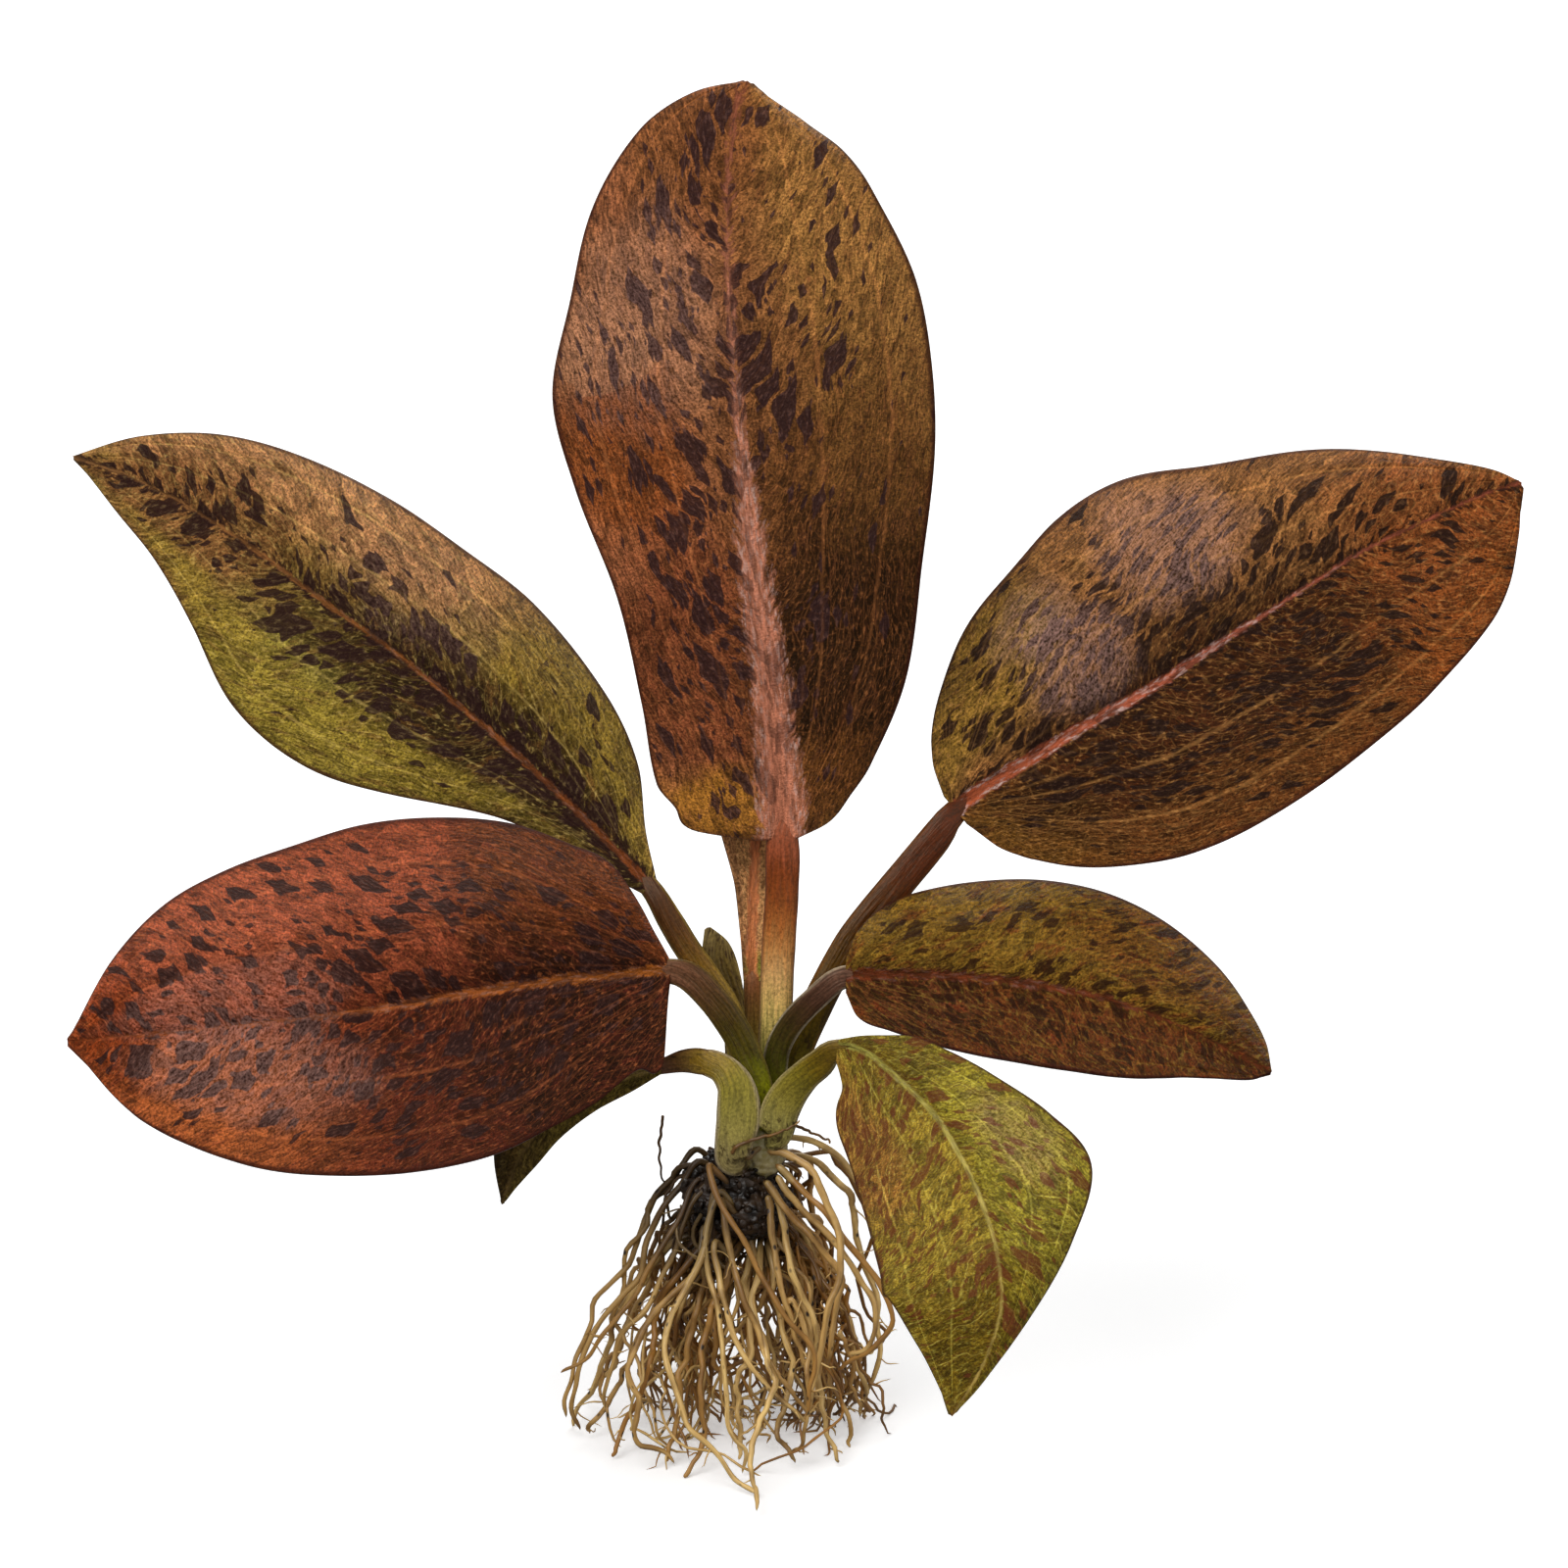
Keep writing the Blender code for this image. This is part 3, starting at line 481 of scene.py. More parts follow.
def build_roots():
    """The outer roots one by one, then the roots in front of the soil, then the dense middle."""
    chance = random.Random(31)
    skin = root_skin()
    for number, root in enumerate(ROOTS, 1):
        mesh = bmesh.new()
        radii = tapered(0.5, 0.3, ROOT_STEPS)
        centres = wander(wander(falling_root(*root), 2.4, 3.5, number), 0.7, 14, number)
        centres = grounded(centres, radii)
        tone = chance.uniform(0, 1)
        strand(mesh, centres, radii, tone, number)
        root_hairs(mesh, centres, 3, chance, tone)
        piece_of(f"outer_root_{number:02d}", mesh, [skin], "root_tan", f"root_{number:02d}")

    mesh = bmesh.new()
    for number, (near_start, near_end, bulge, radius, *places) in enumerate(FRONT_ROOTS):
        # a root that comes into sight away from the crown starts further in; the last two are loose
        if abs(places[0][0]) > 4 and number < len(FRONT_ROOTS) - 2:
            places.insert(0, (places[0][0] * 0.6, places[0][1] - 2.5))
            near_start -= 4
        rows = []
        for index, (across, up) in enumerate(places):
            share = index / (len(places) - 1)
            near = near_start + (near_end - near_start) * share + bulge * 4 * share * (1 - share)
            rows.append((across, up, max(near, near_on_ground(up, radius))))
        centres = [seen(*row) for row in smoothed(rows, FRONT_STEPS)]
        radii = tapered(radius * 0.84, radius * 0.5, FRONT_STEPS)
        centres = grounded(wander(centres, 0.5, 9, number + FRONT_SEED), radii)
        tone = chance.uniform(0, 0.9) if radius > THICK_ROOT else DARK_TONE
        strand(mesh, centres, radii, tone, number + FRONT_SEED)
        root_hairs(mesh, centres, 3 if radius > THICK_ROOT else 0, chance, tone)
    piece_of("front_roots", mesh, [skin], "root_tan")

    mesh = bmesh.new()
    for number in range(INNER_ROOTS):
        fan = number % len(INNER_FANS)
        azimuth = [chance.uniform(*span) for span in INNER_FANS][fan]
        left = 0.5 - 0.5 * math.cos(math.radians(azimuth))
        reach = chance.uniform(6, 18) + left * chance.uniform(0, 9)
        # shorter roots at the front leave the middle open
        reach *= 0.55 if 212 < azimuth < 328 else 1
        reach += chance.uniform(0, 4) if fan == RIGHT_FAN else 0
        height = chance.uniform(29, 38.5)
        centres = falling_root(azimuth, height, reach, chance.uniform(0.5, 1.0), chance.uniform(1.0, 1.8),
                               chance.uniform(-1, 6), chance.uniform(-65, 65))
        radii = tapered(chance.uniform(0.2, 0.44), 0.18, ROOT_STEPS)
        centres = wander(wander(centres, 5.5, 4, number + INNER_SEED), 1.2, 12, number)
        centres = grounded(centres, radii)
        tone = chance.uniform(0, 1.3) + (0.5 if fan == RIGHT_FAN else 0)
        strand(mesh, centres, radii, tone, number + INNER_SEED)
        root_hairs(mesh, centres, 2, chance, tone)
    piece_of("inner_roots", mesh, [skin], "root_tan", "root_tangle")


build_roots()

# ------------------------------------------------------------------ soil
# Black aquarium soil, baked grains of 0.5 to 1.5 mm, still clings wet among the upper roots.
# It hangs mostly on the left side of the crown's foot and glitters where the wet grains catch light.

SOIL_SIDES = 72
SOIL_STEPS = 40
SOIL_BASE = 29.0
# height of the upper rim, which is lower on the right, and how much sooner than it the lump closes
SOIL_RIM = 39.4
SOIL_RIM_SLOPE = 3.4
SOIL_OVERLAP = 1.08
GRAINS = 620


def soil_grit():
    """Wet black soil: gritty at about 1 mm, brown-black, glossy on single grains."""
    material, tree, shader = new_material("wet_black_soil")
    place = add(tree, "TexCoord", {}).node.outputs["Object"]
    grit = add(tree, "TexVoronoi", {"Vector": place, "Scale": 900})
    cloud = add(tree, "TexNoise", {"Vector": place, "Scale": 350, "Detail": 5})
    base = stained(tree, linear("#160e07"), "#46301c", cloud, 0.42, 0.72)
    bump = add(tree, "Bump", {"Height": grit, "Strength": 0.8, "Distance": 0.0006})
    gloss = add(tree, "MapRange", (cloud, 0, 1, 0.2, 0.7))
    tree.links.new(base, shader.inputs["Base Color"])
    tree.links.new(bump, shader.inputs["Normal"])
    tree.links.new(gloss, shader.inputs["Roughness"])
    return material


def crown_radius(height):
    """Radius of the crown's side at a height."""
    for (low_radius, low), (high_radius, high) in zip(CROWN_OUTLINE[1:], CROWN_OUTLINE[2:]):
        if low <= height <= high:
            return low_radius + (high_radius - low_radius) * (height - low) / (high - low)
    return CROWN_OUTLINE[1][0]


def build_soil():
    """Lopsided lump around the crown's foot, with single grains all over it."""
    chance = random.Random(5)
    mesh = bmesh.new()
    places = []

    def place(column, row):
        turn = 2 * math.pi * (column % SOIL_SIDES) / SOIL_SIDES
        way = row / (SOIL_STEPS - 1)
        rim = SOIL_RIM - SOIL_RIM_SLOPE * math.cos(turn)
        height = SOIL_BASE - 1 + (rim - SOIL_BASE + 1) * way
        around = Vector((math.cos(turn), math.sin(turn), 0))
        full = 0
        if 0 < way < 1 / SOIL_OVERLAP:
            full = math.sin(math.pi * min(1, way * SOIL_OVERLAP) ** 0.8) ** 0.6
        inner = crown_radius(rim) * 0.6 if way > 0.5 else 0
        radius = max(inner, soil_radius(turn) * full)
        lump = noise.noise(around * 1.6 + Vector((0, 0, height * 0.35)))
        lump += 0.6 * noise.noise(around * 6 + Vector((0, 0, height * 1.2)))
        spot = around * (radius * (1 + 0.16 * lump)) + Vector((0, 0, height + 0.5 * lump * full))
        if row in (0, SOIL_STEPS - 1):
            return Vector((0, 0, height if row == 0 else rim))
        places.append(spot)
        return spot

    lay(mesh, SOIL_SIDES + 1, SOIL_STEPS, place, {})
    for _ in range(GRAINS):
        spot = chance.choice(places)
        size = chance.uniform(0.25, 0.75) * MM
        made = bmesh.ops.create_icosphere(mesh, subdivisions=1, radius=size)["verts"]
        stretch = Vector((chance.uniform(0.7, 1.3), chance.uniform(0.7, 1.3), chance.uniform(0.7, 1.3)))
        for vertex in made:
            vertex.co = Vector(a * b for a, b in zip(vertex.co, stretch)) + spot * 1.01 * MM
    piece_of("soil_clump", mesh, [soil_grit()], "soil_black", "soil")


build_soil()

# ------------------------------------------------------------------ stalks
# Each leaf stands on a fleshy stalk, 3 to 5 mm thick, ribbed along its length, that grows out of the
# crown as a sheath and runs on under the blade as its midrib. The skin is waxy, pale olive at the
# foot, where old soil sticks to it, and stained red-brown in the light.

STALK_SIDES = 28
STALK_STEPS = 110
STALK_RIBS = 7
# share of the stalk's radius
RIB_DEPTH = 0.02
# a stalk whose foot is lower than this starts inside the crown, no higher than CROWN_HOLD
CROWN_REACH = 48
CROWN_HOLD = 43.5

# Across, up and near of the middle line, width as seen and depth
STALKS = {
    "tall_stalk": (
        (1.4, 4.1, -3.0, 4.0, 3.2),
        (1.9, 9.0, -2.5, 4.3, 3.4),
        (2.3, 16.0, -1.6, 4.5, 3.5),
        (2.6, 24.0, -0.8, 4.7, 3.6),
        (3.1, 32.0, 0.1, 4.6, 3.5),
        (3.2, 38.8, 1.0, 4.6, 2.6),
    ),
    "upper_left_stalk": (
        (-3.0, 2.2, 1.3, 3.6, 2.4),
        (-2.6, 7.5, 1.4, 3.6, 2.6),
        (-2.9, 12.0, 1.8, 3.6, 2.8),
        (-4.4, 16.2, 2.1, 3.7, 2.8),
        (-6.9, 20.2, 2.2, 3.7, 2.8),
        (-9.6, 24.0, 2.0, 3.7, 2.8),
        (-12.2, 28.2, 1.6, 3.6, 2.6),
        (-14.6, 32.3, 1.1, 3.0, 1.8),
    ),
    "lower_left_stalk": (
        (0.9, 0.3, 5.2, 1.8, 1.6),
        (0.6, 3.2, 5.4, 3.0, 2.0),
        (-0.2, 6.2, 5.8, 3.8, 2.3),
        (-1.5, 9.2, 6.3, 4.2, 2.4),
        (-2.6, 11.9, 6.6, 4.2, 2.6),
        (-4.0, 14.3, 7.0, 4.2, 2.8),
        (-6.3, 17.4, 7.6, 4.2, 2.8),
        (-9.3, 20.4, 8.1, 4.1, 2.6),
        (-11.6, 21.3, 8.4, 3.6, 1.8),
    ),
    "upper_right_stalk": (
        (3.6, 2.5, 0.4, 3.8, 2.3),
        (4.0, 7.0, 0.4, 4.0, 2.5),
        (6.2, 12.8, 0.7, 4.3, 2.8),
        (9.6, 20.0, 1.0, 4.5, 2.8),
        (13.5, 26.5, 1.1, 4.6, 2.8),
        (19.6, 34.0, 0.9, 4.6, 2.8),
        (24.5, 40.0, 0.6, 4.4, 2.6),
        (26.3, 42.6, 0.4, 3.6, 2.0),
    ),
    "right_stalk": (
        (2.2, -0.2, 3.6, 1.6, 1.6),
        (2.3, 3.0, 3.5, 2.4, 2.0),
        (2.2, 6.0, 3.5, 3.2, 2.2),
        (2.5, 10.5, 3.9, 3.5, 2.3),
        (4.6, 14.4, 4.9, 3.5, 2.4),
        (8.0, 17.9, 6.1, 3.4, 2.4),
        (11.2, 20.4, 7.0, 3.2, 1.8),
    ),
    "drooping_stalk": (
        (2.2, -0.8, 6.6, 4.8, 1.6),
        (2.9, 2.2, 7.8, 5.3, 1.8),
        (4.4, 4.9, 9.0, 4.9, 2.0),
        (6.4, 7.1, 10.4, 4.3, 2.2),
        (8.4, 8.7, 11.7, 4.0, 2.2),
        (10.1, 10.3, 13.0, 3.2, 1.8),
    ),
    "old_small_stalk": (
        (-4.6, 7.2, 6.9, 1.6, 0.9),
        (-5.8, 8.2, 6.8, 2.8, 1.0),
        (-7.8, 8.9, 6.2, 3.6, 1.2),
        (-10.3, 9.0, 4.6, 3.2, 1.3),
        (-13.2, 8.3, 3.5, 2.2, 1.1),
    ),
    "young_back_stalk": (
        (-1.2, 4.3, -6.2, 3.0, 2.0),
        (-1.1, 10.0, -5.7, 2.6, 2.0),
        (-1.0, 19.5, -5.2, 2.4, 1.4),
    ),
    "spear_leaf": (
        (-3.5, 3.1, -1.7, 2.6, 1.8),
        (-3.4, 9.0, -1.6, 2.6, 1.8),
        (-3.6, 15.0, -1.5, 3.2, 1.6),
        (-4.7, 20.0, -1.3, 4.6, 1.4),
        (-6.0, 24.5, -1.0, 4.0, 1.2),
        (-7.2, 27.4, -0.8, 0.8, 0.6),
    ),
    "old_leaf_base": (
        (-3.7, -4.4, 5.2, 4.6, 1.2),
        (-3.4, -1.8, 6.4, 5.4, 1.3),
        (-2.9, 1.0, 7.2, 6.0, 1.4),
        (-2.9, 3.6, 7.5, 5.8, 1.4),
        (-3.5, 6.0, 7.5, 5.0, 1.4),
        (-5.2, 8.0, 7.0, 4.1, 1.3),
        (-7.6, 8.9, 6.2, 3.5, 1.2),
        (-9.6, 9.0, 5.3, 1.4, 0.7),
    ),
}

# Name of the new piece, its slot, how deep its channel is, how blotched its skin is, colours from foot
# to top, colour of its edges as the front view sees them: painted shade where that colour is darker than
# the stalk, painted sheen where it is paler
STALK_LOOKS = {
    "tall_stalk": ("tall_leaf_stalk", "stalk_red", 0.1, 0.35,
                   ("#6a7414", "#7c8030", "#b4a452", "#d2b866", "#dab268", "#cc9c60", "#b87c42", "#9c5a28",
                    "#84421a", "#7a3814", "#8a4428"), "#6a3414"),
    "upper_left_stalk": ("upper_left_leaf_stalk", "stalk_red", 0.15, 0.4,
                         ("#96921c", "#887820", "#8c7028", "#745418", "#543210", "#46240e"), "#8c7430"),
    "lower_left_stalk": ("lower_left_leaf_stalk", "stalk_red", 0.2, 0.4,
                         ("#a0a012", "#74740c", "#463e06", "#403208", "#50341a", "#64402c"), "#685420"),
    "upper_right_stalk": ("upper_right_leaf_stalk", "stalk_red", 0.15, 0.5,
                          ("#66601c", "#62500e", "#543808", "#4a2806", "#4a1e05", "#4c1c05"), "#683e14"),
    "right_stalk": ("right_leaf_stalk", "stalk_red", 0.2, 0.4,
                    ("#969410", "#5c5c0a", "#3c380a", "#3a2c0c", "#42281a", "#5a3c2e"), "#a8987c"),
    "drooping_stalk": ("drooping_leaf_stalk", "stalk_pale", 0.1, 0.25,
                       ("#988c4c", "#8c8040", "#86782c", "#786a1c", "#68540c", "#604a0e"), "#a09064"),
    "old_small_stalk": ("old_small_leaf_stalk", "stalk_pale", 0.1, 0.6,
                        ("#7c6424", "#7a5c20", "#8a6e26", "#80602a", "#6a4826", "#664432"), "#54301c"),
    "young_back_stalk": ("young_back_leaf_stalk", "stalk_pale", 0.1, 0.2,
                         ("#6c600e", "#706214", "#8c7034", "#98603a"), "#84742c"),
    "spear_leaf": ("rolled_spear_leaf", "leaf_olive", 0.35, 0.9,
                   ("#6c6414", "#5e5418", "#503f16", "#4c3a14", "#5a4820", "#6c5a32"), "#847038"),
    "old_leaf_base": ("old_leaf_sheath", "stalk_pale", 0.0, 0.15,
                      ("#948454", "#968848", "#8e823a", "#82762a", "#80681e", "#84641e"), "#ac9a80"),
}


def sideways(rows, index, window=1):
    """Unit direction, as seen, that points left of the way from stalk to tip."""
    before = rows[max(index - window, 0)]
    after = rows[min(index + window, len(rows) - 1)]
    along = Vector((after[0] - before[0], after[1] - before[1])).normalized()
    return Vector((-along.y, along.x))


def dappled(tree, base, *layers):
    """The base, made darker and lighter by patterns, each with the range that it is read over."""
    for pattern, start, end, dark, light in layers:
        factor = add(tree, "MapRange", (pattern, start, end, dark, light))
        base = add(tree, "Mix", {"Factor": 1.0, "A": base, "B": factor},
                   data_type="RGBA", blend_type="MULTIPLY")
    return base


def colour_run(tree, colours, along):
    """Colours that follow one another evenly along a piece."""
    base = linear(colours[0])
    parts = len(colours) - 1
    for index, colour in enumerate(colours[1:], 1):
        base = stained(tree, base, colour, along, (index - 1) / parts, index / parts)
    return base


def stalk_skin(name, blotched, colours, edge):
    """Waxy ribbed stalk skin: its colour changes from foot to top, with dark streaks and flecks.

    The real skin's cells are about 0.1 mm. The grain is drawn at 0.4 mm, so that it shows.
    """
    material, tree, shader = new_material(f"waxy_stalk_skin_{name}")
    share = add(tree, "UVMap", {}, uv_map="skin_share")
    skin = add(tree, "UVMap", {}, uv_map="skin_mm")
    around = add(tree, "SeparateXYZ", {"Vector": share}).node.outputs["X"]
    along = add(tree, "SeparateXYZ", {"Vector": share}).node.outputs["Y"]
    streak = stretched_noise(tree, skin, (2.4, 0.2), 5)
    grain = add(tree, "TexNoise", {"Vector": skin, "Scale": 2.3, "Detail": 3, "Roughness": 0.7})
    wobble = add(tree, "MapRange", (streak, 0, 1, -0.12, 0.12))
    along = add(tree, "Math", (along, wobble), operation="ADD")
    base = colour_run(tree, colours, along)
    # around runs from 0 at the left edge over the front at 0.25 to the right edge at 0.5
    wave = add(tree, "Math", (around, 4 * math.pi), operation="MULTIPLY")
    wave = add(tree, "Math", (wave,), operation="COSINE")
    wave = add(tree, "Math", (streak, 0.9, wave), operation="MULTIPLY_ADD")
    # the left and right edges as the front view sees them take the edge colour: painted shade where it is
    # darker than the stalk, painted sheen where it is paler
    base = stained(tree, base, edge, wave, 0.7, 1.4, high=0.8)
    blotch = stretched_noise(tree, skin, (1.1, 0.4), 5, Roughness=0.7)
    base = stained(tree, base, "#2a170c", blotch, 0.52, 0.6, high=blotched)
    # old soil sticks to the foot in ragged patches
    dirt_place = add(tree, "Mapping", {"Vector": skin, "Location": (3, 7, 0), "Scale": (0.5, 0.42, 1)})
    dirt = add(tree, "TexNoise", {"Vector": dirt_place, "Scale": 1.0, "Detail": 6, "Roughness": 0.7})
    height = add(tree, "MapRange", (along, 0, 0.45, 0.06, -0.14))
    dirt = add(tree, "Math", (dirt, height), operation="ADD")
    base = stained(tree, base, "#2e1c0e", dirt, 0.55, 0.6, high=0.75)
    base = dappled(tree, base, (streak, 0.36, 0.64, 0.76, 1.26), (grain, 0.36, 0.64, 0.72, 1.3))
    fleck_place = add(tree, "Mapping", {"Vector": skin, "Scale": (1.6, 0.9, 1)})
    flecks = add(tree, "TexVoronoi", {"Vector": fleck_place, "Scale": 1.0})
    base = stained(tree, base, "#321a0e", flecks, 0.08, 0.2, 0.5, 0)
    bump = add(tree, "Bump", {"Height": streak, "Strength": 0.5, "Distance": 0.0004})
    tree.links.new(base, shader.inputs["Base Color"])
    tree.links.new(bump, shader.inputs["Normal"])
    shader.inputs["Roughness"].default_value = 0.3
    shader.inputs["Specular IOR Level"].default_value = 0.28
    shader.inputs["Specular Tint"].default_value = linear("#ffe6c8")
    return material


def in_view(place):
    """Across, up and near of a place in the object's frame: seen() the other way round."""
    away = place - VIEW_CENTRE
    near = away.dot(VIEW_TOWARDS)
    shrink = 1 - near / VIEW_DISTANCE
    return away.x / shrink - CROWN_IN_VIEW[0], away.dot(VIEW_UP) / shrink - CROWN_IN_VIEW[1], near


def build_stalk(name, keel):
    """Ribbed stalk out of the crown, through its rows, then on along the keel rows under the blade."""
    piece, slot, channel, blotched, colours, edge = STALK_LOOKS[name]
    own = STALKS[name]
    own_length = lengths_along(own)[-1]
    foot = seen(*own[0][:3])
    foot_length = 0
    if foot.z < CROWN_REACH:
        inside = Vector((foot.x * 0.45, foot.y * 0.45, min(foot.z - 1.5, CROWN_HOLD)))
        foot_length = (foot - inside).length
        own = ((*in_view(inside), own[0][3] * 0.8, own[0][4]),) + own
    rows = smoothed(own + keel, STALK_STEPS)
    centres = [seen(*row[:3]) for row in rows]
    lengths = lengths_along(centres)
    axes = []
    for index, row in enumerate(rows):
        side = sideways(rows, index)
        wide = (seen(row[0] + side.x, row[1] + side.y, row[2]) - centres[index]).normalized()
        along = centres[min(index + 1, STALK_STEPS - 1)] - centres[max(index - 1, 0)]
        deep = along.cross(wide).normalized()
        axes.append((wide, deep))

    def place(column, row):
        turn = 2 * math.pi * (column % STALK_SIDES) / STALK_SIDES
        wide, deep = axes[row]
        width, depth = rows[row][3] / 2, rows[row][4] / 2
        if row in (0, STALK_STEPS - 1):
            return centres[row]
        lump = noise.noise(Vector((lengths[row] * 0.3, turn, width)))
        rib = 1 + RIB_DEPTH * math.sin(STALK_RIBS * turn) + RIB_DEPTH * lump
        out = math.sin(turn)
        if out > 0:
            out -= channel * 2 * out**3
        return centres[row] + wide * (width * rib * math.cos(turn)) + deep * (depth * rib * out)

    def skin(column, row):
        return (column / STALK_SIDES * math.pi * rows[row][3], lengths[row])

    def share(column, row):
        return (column / STALK_SIDES, min(1, max(0, lengths[row] - foot_length) / own_length))

    mesh = bmesh.new()
    lay(mesh, STALK_SIDES + 1, STALK_STEPS, place, {"skin_mm": skin, "skin_share": share})
    piece_of(piece, mesh, [stalk_skin(name, blotched, colours, edge)], slot, name)


# ------------------------------------------------------------------ blades
# Blades are thin, leathery leaves up to 105 mm long. Long veins leave the midrib near the base and
# run in arcs to the tip, fine veins climb between them, and the skin is glossy with purple-black
# spots that follow the fine veins. New leaves grow red-brown and turn olive with age.

BLADE_COLUMNS = 97
BLADE_STEPS = 170
BLADE_THICKNESS = 0.55
BLADE_LIFT = 0.3
# how far each half arches, as a share of its width, how the margins bend up or down, and over how
# many rows the midrib's direction is read
BLADE_ARCH = 0.10
MARGIN_BEND = 1.5
BEND_WINDOW = 10
# shares of the half-width that the long veins keep, and how soon they leave the midrib
LONG_VEINS = (0.42, 0.78)
VEINS_LEAVE = 0.12
VEINS_START = 0.02
SIDE_VEIN_SPACING = 4.6
THREAD_SPACING = 1.3
# relief in mm: how deep the veins lie, and how far the skin between them and the margin swell
LONG_VEIN_DEPTH = 0.16
SIDE_VEIN_DEPTH = 0.08
MIDRIB_DEPTH = 0.5
SWELL = 0.7
MARGIN_WAVE = 0.35
# painted highlight flecks beside the midrib, painted sheen on the top, and the thin dark margin
PAINTED_RIB_GLINT = "#d8beb4"
BLADE_PAINTED_SHEEN = "#c4968a"
BLADE_MARGIN = "#3c1512"
# rows read off a blade for its keel, those of them that the keel has, and its widest
KEEL_STEPS = 12
KEEL_ROWS = 10
KEEL_WIDTH = 2.4

